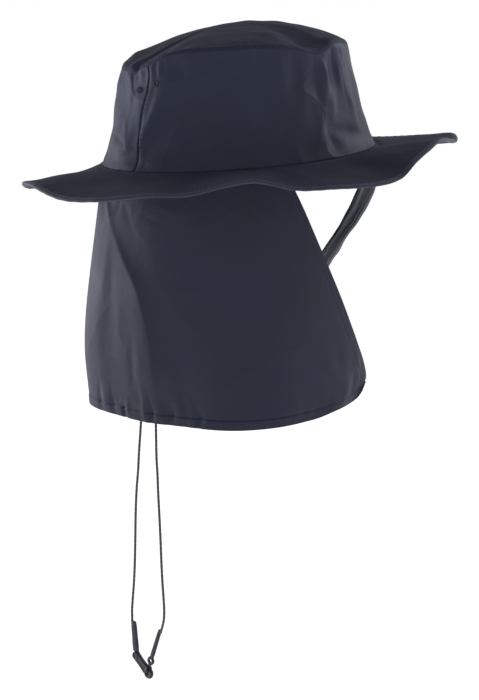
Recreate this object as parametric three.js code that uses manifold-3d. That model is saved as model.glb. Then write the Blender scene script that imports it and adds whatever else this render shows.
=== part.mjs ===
// Beach hat with a neck cape, a chin strap and a leash, at real size in millimetres, +Z up.
// +X is the front of the hat and +Y is the wearer's left. The origin is the centre of the oval
// where the crown meets the brim, which is where the hat sits on a head.
import * as THREE from "three";
import { mergeVertices } from "three/addons/utils/BufferGeometryUtils.js";
import Module from "manifold-3d";

// Cloth and clearances
const CLOTH = 1.2; // one wall of woven cloth, with its seam allowance
const BRIM_CLOTH = 2; // the brim is two layers of cloth, stitched together
const GAP = 0.3; // clear space between neighbouring pieces
const HEAD_TILT = 4.8; // degrees by which the hat sits front up on the head

// Crown
const BASE_LENGTH = 205.4;
const BASE_WIDTH = 170.8;
const TIP_LENGTH = 167;
const TIP_WIDTH = 141.4;
const WALL_HEIGHT = 70;
const TIP_RISE = 16;
const TIP_LEAN = 5; // how far the top of the dome sits towards the front
const DOME_FULLNESS = 0.86; // under 1, the dome is flatter on top and steeper at its seam
const WALL_FOLD_FADE = 6; // folds die out over this share, inverted, of the wall at each seam
const TIP_DENT_FADE = 8; // and dents over this share, inverted, of the tip

// Brim
const BRIM_WIDTH = 56;
const BRIM_BEND = 0.65; // under 1, the brim turns down or up most next to the crown
const BRIM_SEAM = 2.2; // level strip next to the crown, which the seam holds
const BRIM_SHIFT = 1.4; // the brim is a little longer in front
const BINDING_WIDTH = 2.6;
const BINDING_THICK = 3;

// Neck cape
const CAPE_DROP = 175; // from the crown's base line to the hem at the centre back
const CAPE_JOIN = 7; // height over which the cape leaves the crown's oval for its own plan
const CAPE_TOP_ANGLE = 65; // degrees from the centre back to each front edge, at the top
const CAPE_BACK_LENGTH = 90; // from the origin back to the hem
const CAPE_HALF_WIDTH = 88;
const CAPE_FORWARD = 33; // how far each lower front corner reaches ahead of the origin
const CAPE_CORNER_DROP = 160;
const GATHER_WIDTH = 112; // stretch of hem that is drawn together at the centre back
const GATHER_DEPTH = 1.5;
const GATHER_COUNT = 9;
const GATHER_TALL = 26;

// Chin strap
const STRAP_WIDTH = 20;
const STRAP_THICK = 2.2;
const STRAP_ANGLE = 51.2; // degrees from the front to each end, round the crown's base
const STRAP_INSET = 0.1;
const STRAP_DROP = 97;

// Eyelets either side of the back seam
const EYELET_ANGLE = 6.5; // degrees from the centre back
const EYELET_UP = 0.8; // share of the wall's height
const EYELET_HOLE = 2.4;
const EYELET_BARREL = 3.6;
const EYELET_FLANGE = 5.6;
const EYELET_LIP = 0.8;
const EYELET_CLEAR = 0.5; // under each lip, because the cloth isn't flat there

// Leash
const CORD_WIDTH = 1.8;
const CORD_SIDES = 8;
const SLEEVE_WIDTH = 4.1;
const SLEEVE_THICK = 2;
const END_WIDTH = 2.6;
const SLEEVE_SHIFT = 1.4; // each doubled end lies on the inner side of its cord
const END_SHIFT = 0.5;

// Clip
const KNUCKLE_WIDTH = 4.8;
const CLIP_THICK = 3.6;
const BAR_WIDTH = 5;
const BOW_WIDTH = 5.2; // across the middle of the bow's wire
const BOW_WIRE = 1.9;
const EYE_WIDTH = 3.8;
const EYE_WIRE = 1.7;
const LINK_WIDTH = 4.2;
const LINK_WIRE = 1.3;

// Profile of the crown's wall: up is the share of its height, spread is the share of the
// difference between the base oval and the tip oval that is left.
const WALL_PROFILE = [
  { up: 0, spread: 1 },
  { up: 0.12, spread: 0.8 },
  { up: 0.25, spread: 0.65 },
  { up: 0.4, spread: 0.46 },
  { up: 0.6, spread: 0.3 },
  { up: 0.8, spread: 0.12 },
  { up: 1, spread: 0 },
];

// Height of the tip seam round the crown, in degrees from the front towards the wearer's left
// and as a share of WALL_HEIGHT.
const TIP_SEAM = [
  { angle: 0, height: 0.98 },
  { angle: 50, height: 0.96 },
  { angle: 95, height: 0.95 },
  { angle: 130, height: 0.9 },
  { angle: 158, height: 0.88 },
  { angle: 172, height: 0.9 },
  { angle: 183, height: 0.95 },
  { angle: 195, height: 1.03 },
  { angle: 220, height: 1.05 },
  { angle: 247, height: 1.04 },
  { angle: 260, height: 1.0 },
  { angle: 269, height: 0.95 },
  { angle: 277, height: 0.97 },
  { angle: 286, height: 1.03 },
  { angle: 310, height: 0.99 },
];

// Folds and dents of the crown's wall: where each one lies, how wide and tall it is and how it
// leans, and how far it stands out, as a share of WALL_HEIGHT.
const WALL_FOLDS = [
  { angle: 273, height: 0.82, wide: 4, tall: 0.2, lean: 0, out: 0.028 },
  { angle: 282, height: 0.8, wide: 5, tall: 0.2, lean: 0.2, out: -0.028 },
  { angle: 263, height: 0.22, wide: 6, tall: 0.2, lean: 0.6, out: 0.026 },
  { angle: 284, height: 0.18, wide: 8, tall: 0.12, lean: -1.3, out: -0.03 },
  { angle: 300, height: 0.5, wide: 12, tall: 0.4, lean: 0, out: 0.012 },
  { angle: 185, height: 0.45, wide: 4, tall: 0.25, lean: 1.1, out: 0.026 },
  { angle: 197, height: 0.6, wide: 7, tall: 0.35, lean: 0.3, out: -0.022 },
  { angle: 168, height: 0.3, wide: 8, tall: 0.3, lean: 0.4, out: 0.02 },
  { angle: 162, height: 0.62, wide: 7, tall: 0.2, lean: -0.3, out: -0.016 },
  { angle: 145, height: 0.68, wide: 12, tall: 0.3, lean: 0, out: 0.02 },
  { angle: 199, height: 0.9, wide: 4, tall: 0.08, lean: 0, out: -0.03 },
  { angle: 100, height: 0.4, wide: 12, tall: 0.35, lean: 0.2, out: -0.018 },
  { angle: 62, height: 0.6, wide: 10, tall: 0.35, lean: -0.2, out: 0.02 },
  { angle: 28, height: 0.35, wide: 12, tall: 0.3, lean: 0.3, out: -0.02 },
];

// Dents of the tip: reach is the share of the way from its middle to its seam, the sizes are
// degrees and shares of that way, and sink is a share of TIP_RISE.
const TIP_DENTS = [
  { angle: 273, reach: 0.84, wide: 13, deep: 0.12, sink: 0.17 },
  { angle: 293, reach: 0.86, wide: 9, deep: 0.1, sink: 0.14 },
  { angle: 252, reach: 0.7, wide: 10, deep: 0.14, sink: -0.06 },
  { angle: 196, reach: 0.88, wide: 8, deep: 0.1, sink: 0.1 },
  { angle: 150, reach: 0.8, wide: 14, deep: 0.14, sink: 0.08 },
  { angle: 40, reach: 0.7, wide: 18, deep: 0.2, sink: 0.07 },
];

// Wave of the brim's edge above the crown's base line, as a share of BRIM_WIDTH.
const BRIM_WAVE = [
  { angle: 0, rise: -0.12 },
  { angle: 24, rise: -0.13 },
  { angle: 45, rise: -0.03 },
  { angle: 62, rise: 0.0 },
  { angle: 78, rise: -0.18 },
  { angle: 92, rise: -0.32 },
  { angle: 112, rise: -0.34 },
  { angle: 129, rise: -0.285 },
  { angle: 148, rise: -0.115 },
  { angle: 160, rise: -0.085 },
  { angle: 176, rise: -0.175 },
  { angle: 188, rise: -0.165 },
  { angle: 203, rise: -0.108 },
  { angle: 213, rise: -0.105 },
  { angle: 222, rise: -0.025 },
  { angle: 229, rise: 0 },
  { angle: 238, rise: -0.115 },
  { angle: 248, rise: -0.15 },
  { angle: 260, rise: -0.185 },
  { angle: 268, rise: -0.15 },
  { angle: 274, rise: 0 },
  { angle: 280, rise: 0.095 },
  { angle: 287, rise: 0.165 },
  { angle: 303, rise: 0.06 },
  { angle: 319, rise: 0.06 },
  { angle: 338, rise: -0.035 },
];

// Front edge of the cape: down is the share of its height and forward the share of the way from
// its top to its lower corner.
const CAPE_FRONT_EDGE = [
  { down: 0, forward: 0 },
  { down: 0.1, forward: 0.105 },
  { down: 0.34, forward: 0.365 },
  { down: 0.57, forward: 0.64 },
  { down: 0.7, forward: 0.795 },
  { down: 0.8, forward: 0.925 },
  { down: 0.88, forward: 1.035 },
  { down: 0.95, forward: 1.09 },
  { down: 1, forward: 1 },
];

// Plan of the cape at each level: back and side are the shares of the way from the crown's base
// oval to the hem, and the squareness of each half shapes its corner.
const CAPE_PLAN = [
  { down: 0, back: 0, side: 0, square_right: 2, square_left: 2 },
  { down: 0.2, back: 0.06, side: 0.35, square_right: 2.1, square_left: 2.25 },
  { down: 0.45, back: 0.35, side: 0.7, square_right: 2.2, square_left: 2.6 },
  { down: 0.75, back: 0.7, side: 0.95, square_right: 2.3, square_left: 3 },
  { down: 1, back: 1, side: 1, square_right: 2.4, square_left: 2.9 },
];

// Lift of the hem above its lowest line: around is the share of the way from the centre back to
// a front corner, and lift a share of CAPE_DROP.
const HEM_LIFT = [
  { around: 0, lift: 0 },
  { around: 0.4, lift: 0.008 },
  { around: 0.7, lift: 0.02 },
  { around: 0.82, lift: 0.038 },
  { around: 0.93, lift: 0.05 },
  { around: 0.97, lift: 0.064 },
];

// Long folds of the cape: around is signed, towards the wearer's left, and each fold grows from
// its start to the hem. Out is a share of CAPE_DROP.
const CAPE_FOLDS = [
  { around: 0.36, reach: 0.14, start: 0.05, end: 0.8, out: 0.036 },
  { around: 0.62, reach: 0.09, start: 0.3, end: 1, out: -0.016 },
  { around: 0.86, reach: 0.07, start: 0.5, end: 1, out: 0.014 },
  { around: 0.03, reach: 0.1, start: 0.25, end: 0.9, out: 0.012 },
  { around: -0.16, reach: 0.09, start: 0.4, end: 1, out: -0.012 },
  { around: -0.4, reach: 0.12, start: 0.3, end: 1, out: 0.016 },
  { around: -0.68, reach: 0.1, start: 0.2, end: 0.9, out: -0.01 },
  { around: -0.93, reach: 0.06, start: 0.7, end: 1, out: -0.014 },
];

// Crest of the long fold that runs down the left of the cape's back. Around is as in CAPE_FOLDS.
const CREST_PLACE = [
  { down: 0.1, around: 0.28 },
  { down: 0.2, around: 0.19 },
  { down: 0.34, around: 0.075 },
  { down: 0.46, around: -0.01 },
  { down: 0.67, around: -0.06 },
  { down: 0.9, around: -0.055 },
];
const CREST_RISE = 4; // of the cloth at the crest
const CREST_EDGE = 2; // softness of the crest
const CREST_STEEP_WIDTH = 14; // of its slope towards the wearer's right
const CREST_GENTLE_WIDTH = 40; // of its slope towards the wearer's left
const CREST_START = [0.08, 0.45]; // shares of the way down between which the crest comes up
const CREST_END = [0.75, 0.96]; // and dies out

// Half of the chin strap from its end to the lowest point: out is the share of its half span,
// down the share of STRAP_DROP, wide the share of STRAP_WIDTH and twist its turn in degrees.
const STRAP_HALF = [
  { out: 1, down: 0, wide: 1, twist: -34 },
  { out: 0.955, down: 0.14, wide: 1, twist: -18 },
  { out: 0.905, down: 0.28, wide: 1, twist: 0 },
  { out: 0.826, down: 0.39, wide: 0.9, twist: 8 },
  { out: 0.717, down: 0.505, wide: 0.78, twist: 12 },
  { out: 0.589, down: 0.615, wide: 0.66, twist: 16 },
  { out: 0.465, down: 0.72, wide: 0.8, twist: 10 },
  { out: 0.366, down: 0.81, wide: 0.92, twist: 4 },
  { out: 0.266, down: 0.905, wide: 1, twist: 0 },
  { out: 0.142, down: 0.975, wide: 1, twist: 0 },
];

// Section of the strap, folded lengthwise: across and over are shares of its width and thickness.
const STRAP_SECTION = [
  { across: -0.5, over: 0 },
  { across: -0.42, over: -0.45 },
  { across: 0, over: -0.5 },
  { across: 0.42, over: -0.45 },
  { across: 0.5, over: 0 },
  { across: 0.3, over: 0.5 },
  { across: 0.08, over: 0.12 },
  { across: -0.26, over: 0.5 },
];

// Routes of the two cords, from the middle of the hem down to where each is doubled back on itself:
// ahead of the hem's back, towards the wearer's left, and below the hem
const CORD_LEFT_ROUTE = [
  [0.6, 7.1, 0.4],
  [0.4, 7.9, 11],
  [0.2, 8.9, 23],
  [0.2, 9.8, 35],
  [0, 11, 47],
  [0, 11.9, 59],
  [0, 12.4, 71],
  [0, 12.7, 83],
  [0, 13.1, 95],
  [0, 13.7, 107],
  [0, 14.6, 118],
  [0, 15.6, 127],
  [0, 16.3, 135],
  [0, 16.2, 143.4],
];
const CORD_RIGHT_ROUTE = [
  [0.6, -7, 0.4],
  [0.4, -7.4, 11],
  [0.2, -7.9, 23],
  [0.2, -8.8, 35],
  [0, -9.6, 47],
  [0, -10.4, 59],
  [0, -11.2, 71],
  [0, -11.9, 83],
  [0, -12.5, 95],
  [0, -13.3, 107],
  [0, -14.3, 118],
  [0, -15, 127],
  [0, -14.6, 135],
  [0, -12.1, 143.4],
];

// Places of the clip, in the same way
const KNUCKLE_AT = [0, 12.2, 166.9];
const BOW_AT = [0, 0.2, 176.6];
const EYE_AT = [0, -2, 167.1];

const wasm = await Module();
wasm.setup();

const radians = THREE.MathUtils.degToRad;
const lerp = THREE.MathUtils.lerp;
const vector = (x, y, z) => new THREE.Vector3(x, y, z);

// A smooth value from a table's column at x, with rows in rising order of the key.
function fromTable(table, key, column, x, period = 0) {
  const n = table.length;
  const row = (i) => {
    if (!period) return table[THREE.MathUtils.clamp(i, 0, n - 1)];
    return table[((i % n) + n) % n];
  };
  const place = (i) => row(i)[key] + (period ? Math.floor(i / n) * period : 0);
  const at = period ? THREE.MathUtils.euclideanModulo(x, period) : THREE.MathUtils.clamp(x, place(0), place(n - 1));
  let i = 0;
  while (i < n - (period ? 1 : 2) && place(i + 1) <= at) i += 1;
  const slope = (k) => {
    const wide = place(k + 1) - place(k - 1);
    return wide > 0 ? (row(k + 1)[column] - row(k - 1)[column]) / wide : 0;
  };
  const width = place(i + 1) - place(i);
  const s = (at - place(i)) / width;
  const before = row(i)[column];
  const after = row(i + 1)[column];
  const rise = slope(i) * width * s * (1 - s) ** 2;
  const fall = slope(i + 1) * width * s * s * (s - 1);
  return before * (1 + 2 * s) * (1 - s) ** 2 + after * s * s * (3 - 2 * s) + rise + fall;
}

const bump = (x) => Math.exp(-x * x);
const turnBetween = (a, b) => THREE.MathUtils.euclideanModulo(a - b + 180, 360) - 180;

// Carries a point from the hat's own level frame to the head's tilt.
function tilted(point) {
  return point.applyAxisAngle(vector(0, 1, 0), -radians(HEAD_TILT));
}

function ovalPoint(length, width, angle, z) {
  const a = radians(angle);
  return vector((length / 2) * Math.cos(a), (width / 2) * Math.sin(a), z);
}

function tipSeamHeight(angle) {
  return WALL_HEIGHT * fromTable(TIP_SEAM, "angle", "height", angle, 360);
}

function wallFold(angle, up) {
  let out = 0;
  for (const fold of WALL_FOLDS) {
    const across = turnBetween(angle, fold.angle) / fold.wide - (fold.lean * (up - fold.height)) / fold.tall;
    out += fold.out * bump(across) * bump((up - fold.height) / fold.tall);
  }
  return out * WALL_HEIGHT;
}

// Outer face of the crown's wall. Its folds die out at both seams.
function wallPoint(angle, up) {
  const spread = fromTable(WALL_PROFILE, "up", "spread", up);
  const length = lerp(TIP_LENGTH, BASE_LENGTH, spread);
  const width = lerp(TIP_WIDTH, BASE_WIDTH, spread);
  const point = ovalPoint(length, width, angle, lerp(GAP, tipSeamHeight(angle), up));
  const away = vector(point.x, point.y, 0).normalize();
  const free = Math.min(1, WALL_FOLD_FADE * up, WALL_FOLD_FADE * (1 - up));
  return point.addScaledVector(away, wallFold(angle, up) * free);
}

// Outer face of the tip, from its middle at reach 0 to its seam at reach 1.
function tipPoint(angle, reach) {
  const point = ovalPoint(TIP_LENGTH * reach, TIP_WIDTH * reach, angle, 0);
  const dome = TIP_RISE * (1 - reach * reach) ** DOME_FULLNESS;
  const lean = TIP_LEAN * reach * Math.cos(radians(angle)) * (1 - reach * reach);
  let sink = 0;
  for (const dent of TIP_DENTS) {
    const across = turnBetween(angle, dent.angle) / dent.wide;
    sink += dent.sink * bump(across) * bump((reach - dent.reach) / dent.deep);
  }
  const free = Math.min(1, TIP_DENT_FADE * (1 - reach));
  const seam = lerp(WALL_HEIGHT, tipSeamHeight(angle), reach * reach);
  point.z = seam + GAP + CLOTH + dome + lean - sink * TIP_RISE * free;
  return point;
}

// Upper face of the brim, from the crown's inner face at out 0 to its edge at out 1.
function brimPoint(angle, out, width) {
  const inner = CLOTH * 2 * (1 - out);
  const length = BASE_LENGTH + 2 * width * out - inner;
  const across = BASE_WIDTH + 2 * width * out - inner;
  const share = Math.max(0, width * out - BRIM_SEAM) / (BRIM_WIDTH - BRIM_SEAM);
  const rise = BRIM_WIDTH * fromTable(BRIM_WAVE, "angle", "rise", angle, 360);
  const point = ovalPoint(length, across, angle, rise * share ** BRIM_BEND);
  point.x += BRIM_SHIFT * out;
  return point;
}

// One level of the cape: the mean length of its halves, and its point at a signed share of the way
// from the centre back to a front edge.
function capeLevel(down) {
  const topLength = BASE_LENGTH / 2;
  const topWidth = BASE_WIDTH / 2;
  const back = lerp(topLength, CAPE_BACK_LENGTH, fromTable(CAPE_PLAN, "down", "back", down));
  const half = lerp(topWidth, CAPE_HALF_WIDTH, fromTable(CAPE_PLAN, "down", "side", down));
  const topFront = -topLength * Math.cos(radians(CAPE_TOP_ANGLE));
  const front = lerp(topFront, CAPE_FORWARD, fromTable(CAPE_FRONT_EDGE, "down", "forward", down));
  const steps = 160;
  const side = (sign, square) => {
    const share = -front / back;
    const last = Math.acos(Math.sign(share) * Math.abs(share) ** (square / 2));
    const points = [];
    for (let i = 0; i <= steps; i += 1) {
      const a = (last * i) / steps;
      const c = Math.sign(Math.cos(a)) * Math.abs(Math.cos(a)) ** (2 / square);
      points.push(vector(-back * c, sign * half * Math.sin(a) ** (2 / square), 0));
    }
    return new THREE.CatmullRomCurve3(points);
  };
  const right = side(-1, fromTable(CAPE_PLAN, "down", "square_right", down));
  const left = side(1, fromTable(CAPE_PLAN, "down", "square_left", down));
  right.arcLengthDivisions = 400;
  left.arcLengthDivisions = 400;
  const length = (right.getLength() + left.getLength()) / 2;
  return { length, at: (around) => (around < 0 ? right : left).getPointAt(Math.abs(around)) };
}

const HEM_HALF_LENGTH = capeLevel(1).length; // from the centre back to a front corner

// How far the cape stands out at a place because of the crest, steeper to one side of it.
function crestRise(around, down) {
  const run = (around - fromTable(CREST_PLACE, "down", "around", down)) * HEM_HALF_LENGTH;
  const width = run < 0 ? CREST_STEEP_WIDTH : CREST_GENTLE_WIDTH;
  const grown = THREE.MathUtils.smoothstep(down, ...CREST_START) * (1 - THREE.MathUtils.smoothstep(down, ...CREST_END));
  return CREST_RISE * grown * Math.exp((CREST_EDGE - Math.hypot(run, CREST_EDGE)) / width);
}

// Outer face of the cape. The level's own plan gives its run, and folds move it square to that.
function capePoint(level, around, down) {
  const point = level.at(around);
  const beside = level.at(Math.max(-1, around - 0.01)).sub(level.at(Math.min(1, around + 0.01)));
  const away = vector(beside.y, -beside.x, 0).normalize();
  const topAngle = 180 - CAPE_TOP_ANGLE * around;
  const top = tilted(ovalPoint(BASE_LENGTH, BASE_WIDTH, topAngle, -BRIM_CLOTH - GAP));
  const corner = 1 - CAPE_CORNER_DROP / CAPE_DROP;
  const lift = fromTable([...HEM_LIFT, { around: 1, lift: corner }], "around", "lift", Math.abs(around));
  let out = 0;
  for (const fold of CAPE_FOLDS) {
    const grown = THREE.MathUtils.smoothstep(down, fold.start, fold.end);
    out += fold.out * grown * bump((around - fold.around) / fold.reach);
  }
  out *= CAPE_DROP;
  out += crestRise(around, down);
  const run = around * HEM_HALF_LENGTH;
  const drawn = THREE.MathUtils.smoothstep(GATHER_WIDTH / 2 - Math.abs(run), 0, GATHER_WIDTH / 6);
  const tall = THREE.MathUtils.smoothstep(down, 1 - GATHER_TALL / CAPE_DROP, 1 - GATHER_TALL / CAPE_DROP / 4);
  out += GATHER_DEPTH * drawn * tall * Math.cos((2 * Math.PI * GATHER_COUNT * run) / GATHER_WIDTH);
  const z = lerp(top.z, -CAPE_DROP * (1 - lift), down);
  const join = Math.min(1, (down * CAPE_DROP) / CAPE_JOIN);
  return vector(lerp(top.x, point.x, join), lerp(top.y, point.y, join), z).addScaledVector(away, out);
}

function geometryOf(points, triangles) {
  const geometry = new THREE.BufferGeometry();
  geometry.setAttribute("position", new THREE.Float32BufferAttribute(points.flatMap((p) => p.toArray()), 3));
  geometry.setIndex(triangles.flat());
  geometry.computeVertexNormals();
  return geometry;
}

// A wall of even thickness behind a grid of points. Rows run along the first index; with wrap the
// columns close into a ring, with pole the first row is one point, and with level the thickness
// is measured level, so that the wall's rims stay flat.
function wallSolid(grid, thickness, { wrap = false, pole = false, level = false } = {}) {
  const rows = grid.length;
  const columns = grid[0].length;
  const at = (i, j) => {
    const row = grid[THREE.MathUtils.clamp(i, 0, rows - 1)];
    return row[wrap ? (j + columns) % columns : THREE.MathUtils.clamp(j, 0, columns - 1)];
  };
  const normal = (i, j) => {
    const down = at(i + 1, j).clone().sub(at(i - 1, j));
    const across = at(i, j + 1).clone().sub(at(i, j - 1));
    const away = down.cross(across);
    if (level) away.z = 0;
    return away.normalize();
  };
  const outer = [];
  const inner = [];
  for (let i = 0; i < rows; i += 1) {
    for (let j = 0; j < columns; j += 1) {
      const behind = pole && i === 0 ? vector(0, 0, 1) : normal(i, j);
      outer.push(at(i, j));
      inner.push(at(i, j).clone().addScaledVector(behind, -thickness));
    }
  }
  const id = (i, j) => i * columns + ((j + columns) % columns);
  const back = outer.length;
  const faces = [];
  const quad = (a, b, c, d) => faces.push([a, b, c], [a, c, d]);
  const last = wrap ? columns : columns - 1;
  for (let i = 0; i < rows - 1; i += 1) {
    for (let j = 0; j < last; j += 1) {
      const [a, b, c, d] = [id(i, j), id(i + 1, j), id(i + 1, j + 1), id(i, j + 1)];
      if (pole && i === 0) {
        faces.push([id(0, 0), b, c], [back + id(0, 0), back + c, back + b]);
      } else {
        quad(a, b, c, d);
        quad(back + a, back + d, back + c, back + b);
      }
    }
  }
  for (let j = 0; j < last; j += 1) {
    if (!pole) quad(id(0, j), id(0, j + 1), back + id(0, j + 1), back + id(0, j));
    quad(id(rows - 1, j + 1), id(rows - 1, j), back + id(rows - 1, j), back + id(rows - 1, j + 1));
  }
  if (!wrap) {
    for (let i = 0; i < rows - 1; i += 1) {
      quad(id(i + 1, 0), id(i, 0), back + id(i, 0), back + id(i + 1, 0));
      quad(id(i, columns - 1), id(i + 1, columns - 1), back + id(i + 1, columns - 1), back + id(i, columns - 1));
    }
  }
  return geometryOf([...outer, ...inner], faces);
}

// A solid through a row of sections with the same number of points, closed into a ring or capped.
function loft(sections, ring) {
  const sides = sections[0].length;
  const points = sections.flat();
  const faces = [];
  const count = ring ? sections.length : sections.length - 1;
  for (let i = 0; i < count; i += 1) {
    const a = i * sides;
    const b = ((i + 1) % sections.length) * sides;
    for (let k = 0; k < sides; k += 1) {
      const next = (k + 1) % sides;
      faces.push([a + k, a + next, b + next], [a + k, b + next, b + k]);
    }
  }
  if (!ring) {
    const middle = (section) => section.reduce((sum, p) => sum.add(p), vector(0, 0, 0)).divideScalar(sides);
    const first = points.push(middle(sections[0])) - 1;
    const final = points.push(middle(sections.at(-1))) - 1;
    const end = (sections.length - 1) * sides;
    for (let k = 0; k < sides; k += 1) {
      const next = (k + 1) % sides;
      faces.push([first, next, k], [final, end + k, end + next]);
    }
  }
  return geometryOf(points, faces);
}

function toSolid(geometry) {
  const bare = geometry.clone();
  bare.deleteAttribute("normal");
  bare.deleteAttribute("uv");
  const merged = mergeVertices(bare, 1e-4);
  return new wasm.Manifold(
    new wasm.Mesh({
      numProp: 3,
      vertProperties: merged.attributes.position.array,
      triVerts: new Uint32Array(merged.index.array),
    }),
  );
}

function fromSolid(solid) {
  const { vertProperties, triVerts } = solid.getMesh();
  const geometry = new THREE.BufferGeometry();
  geometry.setAttribute("position", new THREE.BufferAttribute(vertProperties, 3));
  geometry.setIndex(new THREE.BufferAttribute(triVerts, 1));
  geometry.computeVertexNormals();
  return geometry;
}

// Turns a geometry whose axis is +Y to point along a direction, at a place.
function placed(geometry, place, direction) {
  const turn = new THREE.Quaternion().setFromUnitVectors(vector(0, 1, 0), direction.clone().normalize());
  return geometry.applyQuaternion(turn).translate(place.x, place.y, place.z);
}

const CLOTH_LOOK = { color: 0x2e303c, roughness: 0.6, metalness: 0 };
const TRIM_LOOK = { color: 0x3a3c48, roughness: 0.7, metalness: 0 };
const CORD_LOOK = { color: 0x3c3c42, roughness: 0.8, metalness: 0 };
const PLASTIC_LOOK = { color: 0x17181c, roughness: 0.3, metalness: 0 };

const hat = new THREE.Group();
const tiltedPart = new THREE.Group(); // crown and brim, which sit front up on the head
tiltedPart.rotation.y = -radians(HEAD_TILT);
hat.add(tiltedPart);

function addMesh(parent, name, geometry, look) {
  const mesh = new THREE.Mesh(geometry, new THREE.MeshStandardMaterial(look));
  mesh.name = name;
  parent.add(mesh);
}

const evenAngles = (count) => Array.from({ length: count }, (_, j) => (360 * j) / count);

// Place and outward direction of an eyelet on the wall.
function eyeletSeat(side) {
  const angle = 180 - side * EYELET_ANGLE;
  const place = wallPoint(angle, EYELET_UP);
  const across = wallPoint(angle + 2, EYELET_UP).sub(wallPoint(angle - 2, EYELET_UP));
  const upward = wallPoint(angle, EYELET_UP + 0.03).sub(wallPoint(angle, EYELET_UP - 0.03));
  return { place, direction: across.cross(upward).normalize() };
}

// Each eyelet is a ring with a lip on both faces of the cloth, round a barrel through its hole.
function addEyelets(wall) {
  let cut = wall;
  for (const [name, side] of [["eyelet_left", 1], ["eyelet_right", -1]]) {
    const { place, direction } = eyeletSeat(side);
    const bore = new THREE.CylinderGeometry(EYELET_BARREL / 2 + GAP, EYELET_BARREL / 2 + GAP, 8 * CLOTH, 12);
    cut = cut.subtract(toSolid(placed(bore, place, direction)));
    const hole = EYELET_HOLE / 2;
    const barrel = EYELET_BARREL / 2;
    const flange = EYELET_FLANGE / 2;
    const under = -CLOTH - EYELET_CLEAR;
    const profile = [
      [hole, under - EYELET_LIP],
      [flange, under - EYELET_LIP],
      [flange, under],
      [barrel, under],
      [barrel, EYELET_CLEAR],
      [flange, EYELET_CLEAR],
      [flange - EYELET_LIP / 2, EYELET_CLEAR + EYELET_LIP],
      [hole, EYELET_CLEAR + EYELET_LIP],
      [hole, under - EYELET_LIP],
    ].map(([r, y]) => new THREE.Vector2(r, y));
    const ring = placed(new THREE.LatheGeometry(profile, 12), place, direction);
    addMesh(tiltedPart, name, ring, TRIM_LOOK);
  }
  return cut;
}

function addCrown() {
  const rings = [0, 0.07, 0.18, 0.34, 0.52, 0.7, 0.86, 1];
  const angles = evenAngles(56);
  const grid = rings.map((up) => angles.map((angle) => wallPoint(angle, 1 - up)));
  const wall = toSolid(wallSolid(grid, CLOTH, { wrap: true, level: true }));
  addMesh(tiltedPart, "crown_wall", fromSolid(addEyelets(wall)), CLOTH_LOOK);

  const reaches = [0, 0.3, 0.56, 0.76, 0.9, 1];
  const dome = reaches.map((reach) => angles.map((angle) => tipPoint(angle, reach)));
  addMesh(tiltedPart, "crown_tip", wallSolid(dome, CLOTH, { wrap: true, pole: true }), CLOTH_LOOK);
}

function addBrim() {
  const angles = evenAngles(76);
  const cloth = BRIM_WIDTH - BINDING_WIDTH - GAP;
  const outs = [0, 0.04, 0.2, 0.5, 0.78, 1];
  const grid = outs.map((out) => angles.map((angle) => brimPoint(angle, out, cloth)));
  addMesh(tiltedPart, "brim", wallSolid(grid, BRIM_CLOTH, { wrap: true }), CLOTH_LOOK);

  // The binding is a flattened ring whose middle lies level with the middle of the brim's cloth.
  const sections = angles.map((angle) => {
    const edge = brimPoint(angle, 1, BRIM_WIDTH);
    const inside = brimPoint(angle, 1, BRIM_WIDTH - BINDING_WIDTH);
    const outward = edge.clone().sub(inside).normalize();
    const over = vector(0, 0, 1).addScaledVector(outward, -outward.z).normalize();
    const middle = edge.clone().add(inside).divideScalar(2).addScaledVector(over, -BRIM_CLOTH / 2);
    const section = [];
    for (let k = 0; k < 6; k += 1) {
      const a = radians(60 * k + 30);
      const out = (Math.sign(Math.round(Math.cos(a) * 2)) * BINDING_WIDTH) / 2;
      section.push(middle.clone().addScaledVector(outward, out).addScaledVector(over, Math.sin(a) * (BINDING_THICK / 2)));
    }
    return section.reverse();
  });
  addMesh(tiltedPart, "brim_binding", loft(sections, true), TRIM_LOOK);
}

function addCape() {
  const spacing = [];
  const gathered = GATHER_WIDTH / 2 / HEM_HALF_LENGTH;
  const beyond = 13; // columns either side of the gathers, closer together near a front edge
  const crowding = 0.85;
  for (let j = 0; j <= beyond; j += 1) spacing.push(lerp(1, gathered, (j / beyond) ** crowding));
  const inGather = GATHER_COUNT * 5;
  for (let j = 1; j <= inGather; j += 1) spacing.push(lerp(gathered, -gathered, j / inGather));
  for (let j = beyond - 1; j >= 0; j -= 1) spacing.push(lerp(-1, -gathered, (j / beyond) ** crowding));
  const levels = [0, 0.05, 0.15, 0.28, 0.42, 0.56, 0.68, 0.78, 0.84, 0.89, 0.93, 0.965, 1];
  const grid = levels.map((down) => {
    const level = capeLevel(down);
    return spacing.map((around) => capePoint(level, around, down));
  });
  addMesh(hat, "neck_cape", wallSolid(grid, CLOTH), CLOTH_LOOK);
}

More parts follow.
